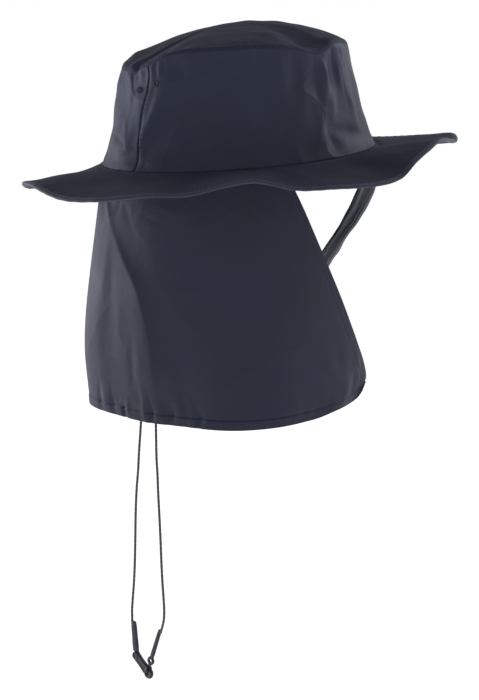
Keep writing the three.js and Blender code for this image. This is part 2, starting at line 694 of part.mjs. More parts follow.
function addChinStrap() {
  const [length, width] = [BASE_LENGTH - 2 * STRAP_INSET, BASE_WIDTH - 2 * STRAP_INSET];
  const end = tilted(ovalPoint(length, width, STRAP_ANGLE, -BRIM_CLOTH - GAP));
  const row = (r, side) => ({ ...r, y: -side * end.y * r.out, z: end.z - STRAP_DROP * r.down, twist: side * r.twist });
  const lowest = { out: 0, down: 1, wide: 1, twist: 0 };
  const stations = [
    ...STRAP_HALF.map((r) => row(r, 1)),
    row(lowest, 1),
    ...STRAP_HALF.toReversed().map((r) => row(r, -1)),
  ];
  const path = new THREE.CatmullRomCurve3(stations.map((s) => vector(end.x, s.y, s.z)));
  const keyed = stations.map((s, i) => ({ ...s, key: i / (stations.length - 1) }));
  const steps = 1.5 * (stations.length - 1);
  const sections = [];
  for (let i = 0; i <= steps; i += 1) {
    const key = i / steps;
    const atEnd = i === 0 || i === steps;
    const along = atEnd ? tilted(vector(0, 0, i ? 1 : -1)) : path.getTangent(key);
    const forward = atEnd ? tilted(vector(1, 0, 0)) : vector(1, 0, 0);
    const twist = radians(fromTable(keyed, "key", "twist", key));
    const wide = STRAP_WIDTH * fromTable(keyed, "key", "wide", key);
    const over = forward.clone().cross(along).applyAxisAngle(along, twist);
    const across = forward.applyAxisAngle(along, twist);
    const place = path.getPoint(key);
    const section = STRAP_SECTION.map((s) =>
      place
        .clone()
        .addScaledVector(across, s.across * wide)
        .addScaledVector(over, s.over * STRAP_THICK),
    );
    sections.push(section.reverse());
  }
  addMesh(hat, "chin_strap", loft(sections, false), CLOTH_LOOK);
}

const leashPoint = ([ahead, left, below]) => vector(ahead - CAPE_BACK_LENGTH, left, -CAPE_DROP - below);

function cordGeometry(route) {
  const section = new THREE.Shape();
  for (let k = 0; k < CORD_SIDES; k += 1) {
    const a = (2 * Math.PI * k) / CORD_SIDES;
    const [u, v] = [(Math.cos(a) * CORD_WIDTH) / 2, (Math.sin(a) * CORD_WIDTH) / 2];
    if (k) section.lineTo(u, v);
    else section.moveTo(u, v);
  }
  section.closePath();
  const path = new THREE.CatmullRomCurve3(route.map(leashPoint));
  return new THREE.ExtrudeGeometry(section, { steps: 20, bevelEnabled: false, extrudePath: path });
}

// A flat bar with rounded sides between two places in the leash's plane.
function flatBar(from, to, width, thick) {
  const along = to.clone().sub(from).normalize();
  const across = along.clone().cross(vector(1, 0, 0));
  const section = (place) =>
    [
      [-0.5, -0.3],
      [-0.5, 0.3],
      [-0.36, 0.5],
      [0.36, 0.5],
      [0.5, 0.3],
      [0.5, -0.3],
      [0.36, -0.5],
      [-0.36, -0.5],
    ].map(([u, v]) => place.clone().addScaledVector(across, u * width).addScaledVector(vector(1, 0, 0), v * thick));
  return loft([section(from), section(to)], false);
}

function addLeash() {
  addMesh(hat, "cord_left", cordGeometry(CORD_LEFT_ROUTE), CORD_LOOK);
  addMesh(hat, "cord_right", cordGeometry(CORD_RIGHT_ROUTE), CORD_LOOK);

  const knuckle = leashPoint(KNUCKLE_AT);
  const eye = leashPoint(EYE_AT);
  const doubled = (route, place, radius, name, width, inward) => {
    const start = leashPoint(route.at(-1)).add(vector(0, inward, -2 * GAP));
    const stop = place.clone().addScaledVector(start.clone().sub(place).normalize(), radius + GAP);
    addMesh(hat, name, flatBar(start, stop, width, SLEEVE_THICK), CORD_LOOK);
  };
  doubled(CORD_LEFT_ROUTE, knuckle, KNUCKLE_WIDTH / 2, "cord_sleeve_left", SLEEVE_WIDTH, -SLEEVE_SHIFT);
  doubled(CORD_RIGHT_ROUTE, eye, (EYE_WIDTH + EYE_WIRE) / 2, "cord_end_right", END_WIDTH, END_SHIFT);
}

// A ring of wire whose hole looks along a direction.
function wireRing(width, wire, place, direction) {
  const ring = new THREE.TorusGeometry(width / 2, wire / 2, 6, 14).rotateX(Math.PI / 2);
  return toSolid(placed(ring, place, direction));
}

function addClip() {
  const knuckle = leashPoint(KNUCKLE_AT);
  const bow = leashPoint(BOW_AT);
  const eye = leashPoint(EYE_AT);
  const square = vector(1, 0, 0);
  const toBow = bow.clone().sub(knuckle).normalize();
  const barEnd = bow.clone().addScaledVector(toBow, -BOW_WIDTH / 2);
  const barrel = new THREE.CylinderGeometry(KNUCKLE_WIDTH / 2, KNUCKLE_WIDTH / 2, CLIP_THICK, 16);
  const hook = toSolid(placed(barrel, knuckle, square))
    .add(toSolid(flatBar(knuckle, barEnd, BAR_WIDTH, CLIP_THICK * 0.9)))
    .add(wireRing(BOW_WIDTH, BOW_WIRE, bow, square));
  addMesh(hat, "clip_hook", fromSolid(hook), PLASTIC_LOOK);

  // The eye's lower link passes through the bow, round the top of its wire.
  const link = bow.clone().add(vector(0, 0, BOW_WIDTH / 2));
  const toLink = link.clone().sub(eye).normalize();
  const neckFrom = eye.clone().addScaledVector(toLink, EYE_WIDTH / 2);
  const neckTo = link.clone().addScaledVector(toLink, -LINK_WIDTH / 2);
  const piece = wireRing(EYE_WIDTH, EYE_WIRE, eye, square)
    .add(toSolid(flatBar(neckFrom, neckTo, LINK_WIRE, LINK_WIRE)))
    .add(wireRing(LINK_WIDTH, LINK_WIRE, link, vector(0, 1, 0)));
  addMesh(hat, "clip_eye", fromSolid(piece), PLASTIC_LOOK);
}

addCrown();
addBrim();
addCape();
addChinStrap();
addLeash();
addClip();

export default hat;
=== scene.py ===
"""Looks of a beach hat with a neck cape, a chin strap and a leash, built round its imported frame.

Lengths are in metres and +Z is up. +X is the front of the hat and +Y the wearer's left. Angles
round the crown are in degrees from the front towards the wearer's left.
"""

from __future__ import annotations

import logging
import math
from dataclasses import dataclass, field
from enum import Enum
from typing import Mapping, Sequence

import bmesh
import bpy
import numpy as np
from mathutils import Matrix, Vector

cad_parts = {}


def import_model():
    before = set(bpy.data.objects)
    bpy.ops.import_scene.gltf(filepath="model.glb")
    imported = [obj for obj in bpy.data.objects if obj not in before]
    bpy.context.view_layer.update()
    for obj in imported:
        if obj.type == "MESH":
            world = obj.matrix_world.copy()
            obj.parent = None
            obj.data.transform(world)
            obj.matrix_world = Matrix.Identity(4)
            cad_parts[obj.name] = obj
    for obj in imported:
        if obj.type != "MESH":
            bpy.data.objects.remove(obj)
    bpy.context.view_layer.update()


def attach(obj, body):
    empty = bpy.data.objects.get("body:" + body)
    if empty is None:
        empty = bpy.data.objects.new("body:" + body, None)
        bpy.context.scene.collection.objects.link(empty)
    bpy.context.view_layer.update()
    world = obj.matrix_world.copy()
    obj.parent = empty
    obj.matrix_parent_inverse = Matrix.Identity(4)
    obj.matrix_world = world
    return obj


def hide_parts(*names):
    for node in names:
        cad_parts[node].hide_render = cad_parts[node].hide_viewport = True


LOG = logging.getLogger("beach_hat")
BODY = "root"
MM = 0.001

Rows = Sequence[Sequence[float]]
Value = float | np.ndarray
Socket = bpy.types.NodeSocket
Material = bpy.types.Material
Color = tuple[float, float, float, float]


class Slot(Enum):
    """Material slots of the record."""

    SHELL = "shell_cloth"
    BINDING = "binding_cloth"
    STRAP = "strap_cloth"
    THREAD = "eyelet_thread"
    CORD = "leash_cord"
    PLASTIC = "clip_plastic"


class Side(Enum):
    """Side of the wearer, with its sign along +Y."""

    LEFT = 1
    RIGHT = -1


# Numbers from tables, and places


def smooth(rows: Rows, x: Value, column: int = 1, period: float = 0.0) -> np.ndarray:
    """Reads a smooth value from a table.

    Args:
        rows: Rows in rising order of their first number, which is the key.
        x: Key or keys to read at.
        column: Column to read.
        period: Period of the key, or 0 where the table has two ends.

    Returns:
        The values at x.
    """
    table = np.array(rows, float)
    keys, values = table[:, 0], table[:, column]
    if period:
        at = np.mod(x, period)
        keys = np.concatenate([keys[-2:] - period, keys, keys[:2] + period])
        values = np.concatenate([values[-2:], values, values[:2]])
    else:
        at = np.clip(x, keys[0], keys[-1])
        keys = np.concatenate([keys[:1], keys, keys[-1:]])
        values = np.concatenate([values[:1], values, values[-1:]])
    wide = keys[2:] - keys[:-2]
    slopes = np.zeros_like(values)
    slopes[1:-1] = (values[2:] - values[:-2]) / wide
    i = np.clip(np.searchsorted(keys, at, side="right") - 1, 1, len(keys) - 3)
    width = keys[i + 1] - keys[i]
    s = (at - keys[i]) / width
    rise = slopes[i] * width * s * (1 - s) ** 2
    fall = slopes[i + 1] * width * s * s * (s - 1)
    return values[i] * (1 + 2 * s) * (1 - s) ** 2 + values[i + 1] * s * s * (3 - 2 * s) + rise + fall


def bump(x: np.ndarray) -> np.ndarray:
    """A round bump of height 1 at 0 that dies out past about 2."""
    return np.exp(-np.square(x))


def uneven_wave(x: np.ndarray, fine: float, swing: float, slow: float) -> np.ndarray:
    """A wave of wave number fine, whose phase swings to and fro with wave number slow."""
    return np.sin(fine * x + swing * np.sin(slow * x))


def turn_between(a: np.ndarray, b: Value) -> np.ndarray:
    """Signed turn from b to a, in degrees."""
    return np.mod(a - b + 180, 360) - 180


def ease(x: Value, low: float, high: float) -> np.ndarray:
    """Smooth step from 0 at low to 1 at high."""
    s = np.clip((np.asarray(x, float) - low) / (high - low), 0, 1)
    return s * s * (3 - 2 * s)


def within(x: Value, low: float, full: float, fading: float, gone: float) -> np.ndarray:
    """Smooth rise to 1 between low and full, and smooth fall to 0 between fading and gone."""
    return ease(x, low, full) * (1 - ease(x, fading, gone))


def lerp(a: Value, b: Value, share: Value) -> np.ndarray:
    """Value at a share of the way from a to b."""
    return a + (b - a) * np.asarray(share)


def graded(start: float, *stretches: tuple[float, int]) -> np.ndarray:
    """Steps that are closer together in some stretches than in others.

    Args:
        start: First value.
        stretches: Last value of each stretch, and how many values it has with both its ends.

    Returns:
        The values, from start to the end of the last stretch.
    """
    steps = [np.array([start])]
    for stop, count in stretches:
        steps.append(np.linspace(steps[-1][-1], stop, count)[1:])
    return np.concatenate(steps)


def once_round(count: int, whole: float = math.tau) -> np.ndarray:
    """Evenly spaced angles once round, in radians unless the whole turn is given as 360."""
    return np.linspace(0, whole, count, endpoint=False)


def blunt(x: np.ndarray, power: float) -> np.ndarray:
    """Signed power, which squares off a sine or a cosine where it is below 1."""
    return np.sign(x) * np.abs(x) ** power


def oval(length: Value, width: Value, angle: Value, z: Value) -> np.ndarray:
    """Points on a level oval.

    Args:
        length: Length of the oval, along X.
        width: Width of the oval, along Y.
        angle: Degrees round the oval.
        z: Height.

    Returns:
        The points.
    """
    a = np.radians(angle)
    x, y, z = np.broadcast_arrays(length / 2 * np.cos(a), width / 2 * np.sin(a), z)
    return np.stack([x, y, z], axis=-1)


def unit(v: np.ndarray) -> np.ndarray:
    """Directions of length 1."""
    return v / np.maximum(np.linalg.norm(v, axis=-1, keepdims=True), 1e-12)


def level_way(points: np.ndarray) -> np.ndarray:
    """Level directions of length 1 from the hat's axis to points."""
    return unit(points * np.array([1.0, 1.0, 0.0]))


def run_along(points: np.ndarray) -> np.ndarray:
    """Distance of each point of a path from the path's start, along the path."""
    return np.concatenate([[0], np.cumsum(np.linalg.norm(np.diff(points, axis=0), axis=1))])


def facing(way: Sequence[float] | np.ndarray) -> Matrix:
    """Turn that points +Z along a direction."""
    return Vector(way).to_track_quat("Z", "Y").to_matrix()



def spline(points: Rows, step: float) -> np.ndarray:
    """Smooth path through points.

    Args:
        points: Points that the path passes through.
        step: Distance between the points of the result, roughly.

    Returns:
        Points along the path.
    """
    p = np.array(points, float)
    p = np.concatenate([2 * p[:1] - p[1:2], p, 2 * p[-1:] - p[-2:-1]])
    out = []
    for i in range(1, len(p) - 2):
        count = max(2, int(np.linalg.norm(p[i + 1] - p[i]) / step))
        for t in np.arange(count) / count:
            a = 2 * p[i] + (p[i + 1] - p[i - 1]) * t
            b = (2 * p[i - 1] - 5 * p[i] + 4 * p[i + 1] - p[i + 2]) * t**2
            c = (3 * p[i] - p[i - 1] - 3 * p[i + 1] + p[i + 2]) * t**3
            out.append((a + b + c) / 2)
    out.append(p[-2])
    return np.array(out)


@dataclass(frozen=True)
class Crinkle:
    """Soft random relief of cloth, made of plane waves and the same each time.

    Attributes:
        seed: Seed of the waves.
        shortest: Shortest wavelength.
        longest: Longest wavelength.
        height: Typical height.
        stretch: How much longer the waves are along Z.
        waves: Number of waves.
    """

    seed: int
    shortest: float
    longest: float
    height: float
    stretch: float = 1.0
    waves: int = 28

    def at(self, points: np.ndarray) -> np.ndarray:
        """Reads the relief.

        Args:
            points: Places to read it at.

        Returns:
            The height at each place.
        """
        rng = np.random.default_rng(self.seed)
        total = np.zeros(points.shape[:-1])
        power = 0.0
        for _ in range(self.waves):
            length = math.exp(rng.uniform(math.log(self.shortest), math.log(self.longest)))
            way = rng.normal(size=3)
            way /= np.linalg.norm(way)
            way[2] /= self.stretch
            tall = length / self.longest
            total += tall * np.sin(2 * np.pi * (points @ way) / length + rng.uniform(0, 2 * np.pi))
            power += tall * tall / 2
        return self.height * total / math.sqrt(power)


@dataclass(frozen=True)
class HatSizes:
    """Sizes that several pieces of the hat share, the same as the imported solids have.

    Attributes:
        cloth: Thickness of the crown's and the cape's cloth.
        brim_cloth: Thickness of the brim.
        gap: Gap between one piece of cloth and the next.
        head_tilt: Degrees by which the hat is tilted front up.
        base_length: Length of the oval where the crown meets the brim.
        base_width: Width of that oval.
        tip_length: Length of the tip.
        tip_width: Width of the tip.
        wall_height: Height of the crown's wall.
    """

    cloth: float = 1.2 * MM
    brim_cloth: float = 2 * MM
    gap: float = 0.3 * MM
    head_tilt: float = 4.8
    base_length: float = 205.4 * MM
    base_width: float = 170.8 * MM
    tip_length: float = 167 * MM
    tip_width: float = 141.4 * MM
    wall_height: float = 70 * MM

    def tilted(self, points: np.ndarray) -> np.ndarray:
        """Tilts points of the level hat front up, as it sits on the head.

        Args:
            points: Points of the level hat.

        Returns:
            The tilted points.
        """
        t = math.radians(self.head_tilt)
        x, y, z = points[..., 0], points[..., 1], points[..., 2]
        ahead = x * math.cos(t) - z * math.sin(t)
        return np.stack([ahead, y, x * math.sin(t) + z * math.cos(t)], axis=-1)


# Meshes


def grid_normals(points: np.ndarray, wrap: bool, pole: bool = False, level: bool = False) -> np.ndarray:
    """Outward directions of a grid of points.

    Args:
        points: Grid whose rows go down and whose columns go round anticlockwise, seen from above.
        wrap: True where the columns close into a ring.
        pole: True where the first row is one point.
        level: True where the directions are kept level.

    Returns:
        One direction for each point.
    """
    down = np.gradient(points, axis=0)
    if wrap:
        across = np.roll(points, -1, axis=1) - np.roll(points, 1, axis=1)
    else:
        across = np.gradient(points, axis=1)
    normal = np.cross(down, across)
    if level:
        normal[..., 2] = 0
    if pole:
        normal[0] = (0, 0, 1)
    return unit(normal)


@dataclass
class ClothWall:
    """A cloth wall of even thickness behind a grid of points, with rounded rims.

    Attributes:
        points: Outer face, as a grid.
        normals: Outward directions at the points.
        thickness: Thickness of the wall.
        wrap: True where the columns close into a ring.
        pole: True where the first row is one point.
        bulge: How far the rims stand out, as a share of the thickness.
    """

    points: np.ndarray
    normals: np.ndarray
    thickness: float
    wrap: bool = False
    pole: bool = False
    bulge: float = 0.42

    def mesh(self, name: str) -> bpy.types.Mesh:
        """Builds the wall as a closed mesh, with a UV map in metres along the cloth.

        Args:
            name: Name of the mesh.

        Returns:
            The mesh.
        """
        rows, columns = self.points.shape[:2]
        inner = self.points - self.normals * self.thickness
        last = columns if self.wrap else columns - 1
        i, j = (v.ravel() for v in np.meshgrid(np.arange(rows - 1), np.arange(last), indexing="ij"))
        quads = np.stack([i, j, i + 1, j, i + 1, j + 1, i, j + 1], axis=1).reshape(-1, 4, 2)
        ids = quads[..., 0] * columns + quads[..., 1] % columns
        back = rows * columns
        faces = [tuple(f) for f in ids.tolist()]
        faces += [tuple(f) for f in (back + ids[:, ::-1]).tolist()]
        corners = [quads.reshape(-1, 2), quads[:, ::-1].reshape(-1, 2)]

        verts = [self.points.reshape(-1, 3), inner.reshape(-1, 3)]
        first = 2 * back
        for loop in self._rims(rows, columns):
            at = np.array(loop)
            middle = (self.points[at[:, 0], at[:, 1]] + inner[at[:, 0], at[:, 1]]) / 2
            verts.append(middle + self._outward(at) * self.thickness * self.bulge)
            size = len(loop)
            for k in range(size):
                n = (k + 1) % size
                a, b = int(at[k] @ (columns, 1)), int(at[n] @ (columns, 1))
                faces.append((a, b, first + n, first + k))
                faces.append((first + k, first + n, back + b, back + a))
                corners.append(at[[k, n, n, k] * 2])
            first += size
        mesh = bpy.data.meshes.new(name)
        mesh.from_pydata(np.concatenate(verts).tolist(), [], faces)
        self._lay_uv(mesh, np.concatenate(corners))
        finish_mesh(mesh, recalculate=self.pole)
        return mesh

    def _rims(self, rows: int, columns: int) -> list[list[tuple[int, int]]]:
        """Finds the wall's open edges.

        Args:
            rows: Number of rows of the grid.
            columns: Number of columns of the grid.

        Returns:
            A loop of grid places for each open edge.
        """
        top = [(0, j) for j in range(columns)]
        bottom = [(rows - 1, j) for j in reversed(range(columns))]
        if self.wrap:
            return [bottom] if self.pole else [top, bottom]
        right = [(i, columns - 1) for i in range(1, rows - 1)]
        left = [(i, 0) for i in reversed(range(1, rows - 1))]
        return [top + right + bottom + left]

    def _outward(self, at: np.ndarray) -> np.ndarray:
        """Finds the directions away from the cloth at its rim.

        Args:
            at: Grid places along the rim.

        Returns:
            A direction for each place.
        """
        rows, columns = self.points.shape[:2]
        here = self.points[at[:, 0], at[:, 1]]
        inside_i = np.clip(at[:, 0], 1, rows - 2)
        away = here - self.points[inside_i, at[:, 1]]
        if not self.wrap:
            inside_j = np.clip(at[:, 1], 1, columns - 2)
            away = away + here - self.points[at[:, 0], inside_j]
        return unit(away)

    def _lay_uv(self, mesh: bpy.types.Mesh, corners: np.ndarray) -> None:
        """Writes the UV map from the distances along one row and down the middle column.

        Args:
            mesh: Mesh of the wall.
            corners: Grid place of each corner of its faces.
        """
        rows, columns = self.points.shape[:2]
        row = self.points[rows * 2 // 3]
        if self.wrap:
            row = np.concatenate([row, row[:1]])
        u, v = run_along(row), run_along(self.points[:, columns // 2])
        lay_uv(mesh, np.stack([u[corners[:, 1]], v[corners[:, 0]]], axis=1))


def lay_uv(mesh: bpy.types.Mesh, pairs: np.ndarray) -> None:
    """Gives a mesh a UV map, with one pair for each corner of its faces."""
    layer = mesh.uv_layers.new(name="UVMap")
    layer.data.foreach_set("uv", np.asarray(pairs, np.float32).ravel())


def finish_mesh(mesh: bpy.types.Mesh, recalculate: bool) -> None:
    """Shades a mesh smooth.

    Args:
        mesh: The mesh.
        recalculate: True where its doubles are merged and its faces turned outwards first.
    """
    if recalculate:
        work = bmesh.new()
        work.from_mesh(mesh)
        bmesh.ops.remove_doubles(work, verts=work.verts, dist=1e-6)
        bmesh.ops.recalc_face_normals(work, faces=work.faces)
        work.to_mesh(mesh)
        work.free()
    mesh.polygons.foreach_set("use_smooth", [True] * len(mesh.polygons))
    mesh.update()


def mesh_of(work: bmesh.types.BMesh, name: str) -> bpy.types.Mesh:
    """Turns a working mesh into a mesh.

    Args:
        work: The working mesh, which is freed.
        name: Name of the mesh.

    Returns:
        The mesh.
    """
    mesh = bpy.data.meshes.new(name)
    work.to_mesh(mesh)
    work.free()
    return mesh


def loft(name: str, sections: np.ndarray, ring: bool) -> bpy.types.Mesh:
    """A solid through a row of sections, closed into a ring or capped.

    Args:
        name: Name of the mesh.
        sections: Sections, each with the same number of points.
        ring: True where the last section joins the first.

    Returns:
        The mesh, with a UV map in metres along and round it.
    """
    count, sides = sections.shape[:2]
    middles = sections.mean(axis=1)
    verts = sections.reshape(-1, 3).tolist()
    faces, corners = [], []
    along = run_along(np.concatenate([middles, middles[:1]]))
    around = run_along(np.concatenate([sections[0], sections[0][:1]]))
    for i in range(count if ring else count - 1):
        a, b = i * sides, (i + 1) % count * sides
        for k in range(sides):
            n = (k + 1) % sides
            faces.append((a + k, a + n, b + n, b + k))
            corners += [(along[i], around[k]), (along[i], around[k + 1])]
            corners += [(along[i + 1], around[k + 1]), (along[i + 1], around[k])]
    for place in () if ring else (0, count - 1):
        start = place * sides
        verts.append(middles[place].tolist())
        for k in range(sides):
            faces.append((len(verts) - 1, start + k, start + (k + 1) % sides))
            corners += [(along[place], 0.0), (along[place], around[k]), (along[place], around[k + 1])]
    mesh = bpy.data.meshes.new(name)
    mesh.from_pydata(verts, [], faces)
    lay_uv(mesh, np.array(corners))
    finish_mesh(mesh, recalculate=True)
    return mesh


def tube(
    path: np.ndarray, beside: np.ndarray, across: np.ndarray, out: np.ndarray, over: np.ndarray
) -> np.ndarray:
    """Sections round a path.

    Args:
        path: Points along the path.
        beside: Direction beside the path at each point.
        across: Direction across both at each point.
        out: Distance beside the path for each point and corner of its section.
        over: Distance across it, in the same way.

    Returns:
        The sections, one for each point.
    """
    return path[:, None] + beside[:, None] * out[..., None] + across[:, None] * over[..., None]


def path_frames(path: np.ndarray, lead: Sequence[float]) -> tuple[np.ndarray, np.ndarray, np.ndarray]:
    """Directions along and square to a path.

    Args:
        path: Points along the path.
        lead: Direction that the second result keeps to as nearly as it can.

    Returns:
        Directions along the path, beside it near lead, and across both.
    """
    along = unit(np.gradient(path, axis=0))
    lead = np.broadcast_to(np.array(lead, float), along.shape)
    beside = unit(lead - along * np.sum(lead * along, axis=1, keepdims=True))
    return along, beside, np.cross(along, beside)


def joined(name: str, meshes: Sequence[bpy.types.Mesh]) -> bpy.types.Mesh:
    """Joins several meshes into one.

    Args:
        name: Name of the result.
        meshes: The meshes, which are removed.

    Returns:
        The joined mesh.
    """
    work = bmesh.new()
    for mesh in meshes:
        work.from_mesh(mesh)
    out = mesh_of(work, name)
    for mesh in meshes:
        bpy.data.meshes.remove(mesh)
    finish_mesh(out, recalculate=False)
    return out


def placed(name: str, data: bpy.types.ID) -> bpy.types.Object:
    """Puts an object into the scene.

    Args:
        name: Name of the object.
        data: Its mesh, lamp or camera.

    Returns:
        The object.
    """
    thing = bpy.data.objects.new(name, data)
    bpy.context.scene.collection.objects.link(thing)
    return thing


def dress(mesh: bpy.types.Mesh, material: Material, slot: Slot, *nodes: str) -> bpy.types.Object:
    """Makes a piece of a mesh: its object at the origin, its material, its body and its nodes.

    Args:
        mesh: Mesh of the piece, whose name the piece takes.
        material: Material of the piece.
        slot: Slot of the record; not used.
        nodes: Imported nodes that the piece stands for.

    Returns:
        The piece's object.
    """
    mesh.materials.clear()
    mesh.materials.append(material)
    piece = placed(mesh.name, mesh)
    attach(piece, BODY)
    if nodes:
        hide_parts(*nodes)
    LOG.info("%s: %d faces, stands for %s", piece.name, len(mesh.polygons), ", ".join(nodes) or "no node")
    return piece


# Materials


def to_linear(hex_color: str) -> Color:
    """Turns an sRGB hex colour into a linear one.

    Args:
        hex_color: The colour, such as 2e303c.

    Returns:
        Its linear parts, with full opacity.
    """
    parts = [int(hex_color[k : k + 2], 16) / 255 for k in (0, 2, 4)]
    r, g, b = (c / 12.92 if c <= 0.04045 else ((c + 0.055) / 1.055) ** 2.4 for c in parts)
    return (r, g, b, 1.0)


@dataclass(frozen=True)
class NodeTree:
    """A node tree under construction.

    Attributes:
        tree: The tree.
    """

    tree: bpy.types.NodeTree

    @classmethod
    def of(cls, owner: Material | bpy.types.World) -> NodeTree:
        """Takes the tree of a material or a world and empties it.

        Args:
            owner: The material or world.

        Returns:
            The emptied tree.
        """
        owner.use_nodes = True
        owner.node_tree.nodes.clear()
        return cls(owner.node_tree)

    def add(
        self,
        kind: str,
        inputs: Mapping[str | int, object] | None = None,
        out: int | str = 0,
        **settings: object,
    ) -> Socket | None:
        """Adds a node.

        Args:
            kind: Type name of the node.
            inputs: Values of its inputs, or the sockets that they are linked to.
            out: Output that is given back.
            settings: Values of the node's own properties.

        Returns:
            The output, or None where the node has none.
        """
        node = self.tree.nodes.new(kind)
        for name, value in settings.items():
            setattr(node, name, value)
        for key, value in (inputs or {}).items():
            if isinstance(value, Socket):
                self.tree.links.new(value, node.inputs[key])
            else:
                node.inputs[key].default_value = value
        return node.outputs[out] if node.outputs else None


@dataclass(frozen=True)
class WovenCloth:
    """Plain-woven nylon with a soft polished face, dyed charcoal navy.

    The calendered face gives the eye a dull body with pale glints where it turns away, fine crinkles
    between the folds and a hint of threads up close. The real threads are 0.15 mm apart, too fine
    to show here, so they are drawn 0.7 mm apart.

    Attributes:
        name: Name of the material.
        face: Main colour as sRGB hex.
        worn: Colour of the paler patches.
        roughness: Roughness of the face.
        thread: Spacing of the drawn threads.
        crinkle: Depth of the fine crinkles.
        crease: Depth of the sharp creases.
        pleat: Depth of creases that run along the piece, or 0 where it has none.
        sheen: Weight of the soft fibre sheen.
        shine: Level of the face's reflection, low because the threads break it up.
        patch: Size of the paler patches.
        slub: Length and width of the thicker stretches of thread.
        crease_size: Distance between the sharp creases.
        crinkle_size: Distance between the fine crinkles.
        pleat_size: Length and width of the creases that run along the piece.
    """

    name: str
    face: str
    worn: str
    roughness: float = 0.58
    thread: float = 0.7 * MM
    crinkle: float = 0.35 * MM
    crease: float = 0.8 * MM
    pleat: float = 0.0
    sheen: float = 0.03
    shine: float = 0.22
    patch: float = 38 * MM
    slub: tuple[float, float] = (9 * MM, 0.9 * MM)
    crease_size: float = 34 * MM
    crinkle_size: float = 11 * MM
    pleat_size: tuple[float, float] = (60 * MM, 3 * MM)

    def build(self) -> Material:
        """Builds the material.

        Returns:
            The material.
        """
        material = bpy.data.materials.new(self.name)
        tree = NodeTree.of(material)
        solid = tree.add("ShaderNodeTexCoord", out="Object")
        across = solid.node.outputs["UV"]
        patch = {"Vector": solid, "Scale": 1 / self.patch, "Detail": 3.0, "Roughness": 0.55}
        patches = tree.add("ShaderNodeTexNoise", patch)
        slub_scale = (1 / self.slub[0], 1 / self.slub[1], 1)
        slub_place = tree.add("ShaderNodeMapping", {"Vector": across, "Scale": slub_scale})
        slubs = tree.add("ShaderNodeTexNoise", {"Vector": slub_place, "Scale": 1.0, "Detail": 1.0})
        tone = tree.add("ShaderNodeMath", {0: slubs, 1: 0.35, 2: patches}, operation="MULTIPLY_ADD")
        share = tree.add("ShaderNodeMapRange", {"Value": tone, "From Min": 0.45, "From Max": 0.95})
        dyes = {0: share, 6: to_linear(self.face), 7: to_linear(self.worn)}
        color = tree.add("ShaderNodeMix", dyes, 2, data_type="RGBA")
        span = {"To Min": self.roughness - 0.05, "To Max": self.roughness + 0.06}
        rough = tree.add("ShaderNodeMapRange", {"Value": patches, "From Min": 0.3, "From Max": 0.7, **span})

        # A band of the wave texture is 2 pi / 20 long at scale 1.
        band = {"Vector": across, "Scale": math.tau / 20 / self.thread}
        warp = tree.add("ShaderNodeTexWave", band, 1, bands_direction="X")
        weft = tree.add("ShaderNodeTexWave", band, 1, bands_direction="Y")
        weave = tree.add("ShaderNodeMath", {0: warp, 1: weft}, operation="ADD")
        normals = tree.add("ShaderNodeBump", {"Height": weave, "Strength": 0.12, "Distance": 0.05 * MM})
        creases = tree.add(
            "ShaderNodeTexNoise",
            {
                "Vector": solid,
                "Scale": 1 / self.crease_size,
                "Detail": 2.0,
                "Roughness": 0.35,
                "Offset": 0.8,
                "Gain": 1.2,
                "Distortion": 0.4,
            },
            noise_type="RIDGED_MULTIFRACTAL",
        )
        fine = {"Vector": solid, "Scale": 1 / self.crinkle_size, "Detail": 4.0, "Distortion": 0.6}
        layers = [(creases, self.crease), (tree.add("ShaderNodeTexNoise", fine), self.crinkle)]
        if self.pleat:
            pleat_scale = (1 / self.pleat_size[0], 1 / self.pleat_size[1], 1)
            pleat_place = tree.add("ShaderNodeMapping", {"Vector": across, "Scale": pleat_scale})
            pleats = tree.add("ShaderNodeTexNoise", {"Vector": pleat_place, "Scale": 1.0, "Detail": 2.0})
            layers.append((pleats, self.pleat))
        for height, depth in layers:
            relief = {"Height": height, "Strength": 1.0, "Distance": depth, "Normal": normals}
            normals = tree.add("ShaderNodeBump", relief)
        shader = tree.add(
            "ShaderNodeBsdfPrincipled",
            {
                "Base Color": color,
                "Roughness": rough,
                "IOR": 1.53,
                "Specular IOR Level": self.shine,
                "Sheen Weight": self.sheen,
                "Sheen Roughness": 0.45,
                "Normal": normals,
            },
        )
        tree.add("ShaderNodeOutputMaterial", {"Surface": shader})
        return material


@dataclass(frozen=True)
class SpunThread:
    """Spun polyester sewing thread, a little paler and duller than the cloth that it sews.

    Attributes:
        name: Name of the material.
        face: Colour as sRGB hex.
        twist: Length of one turn of its plies.
    """

    name: str
    face: str
    twist: float = 0.6 * MM

    def build(self) -> Material:
        """Builds the material.

        Returns:
            The material.
        """
        material = bpy.data.materials.new(self.name)
        tree = NodeTree.of(material)
        solid = tree.add("ShaderNodeTexCoord", out="Object")
        twist = {"Vector": solid, "Scale": math.tau / 20 / self.twist, "Distortion": 1.0}
        plies = tree.add("ShaderNodeTexWave", twist, 1, bands_direction="DIAGONAL")
        relief = tree.add("ShaderNodeBump", {"Height": plies, "Strength": 0.4, "Distance": 0.06 * MM})
        color = to_linear(self.face)
        shader = tree.add(
            "ShaderNodeBsdfPrincipled",
            {"Base Color": color, "Roughness": 0.7, "IOR": 1.5, "Sheen Weight": 0.1, "Normal": relief},
        )
        tree.add("ShaderNodeOutputMaterial", {"Surface": shader})
        return material


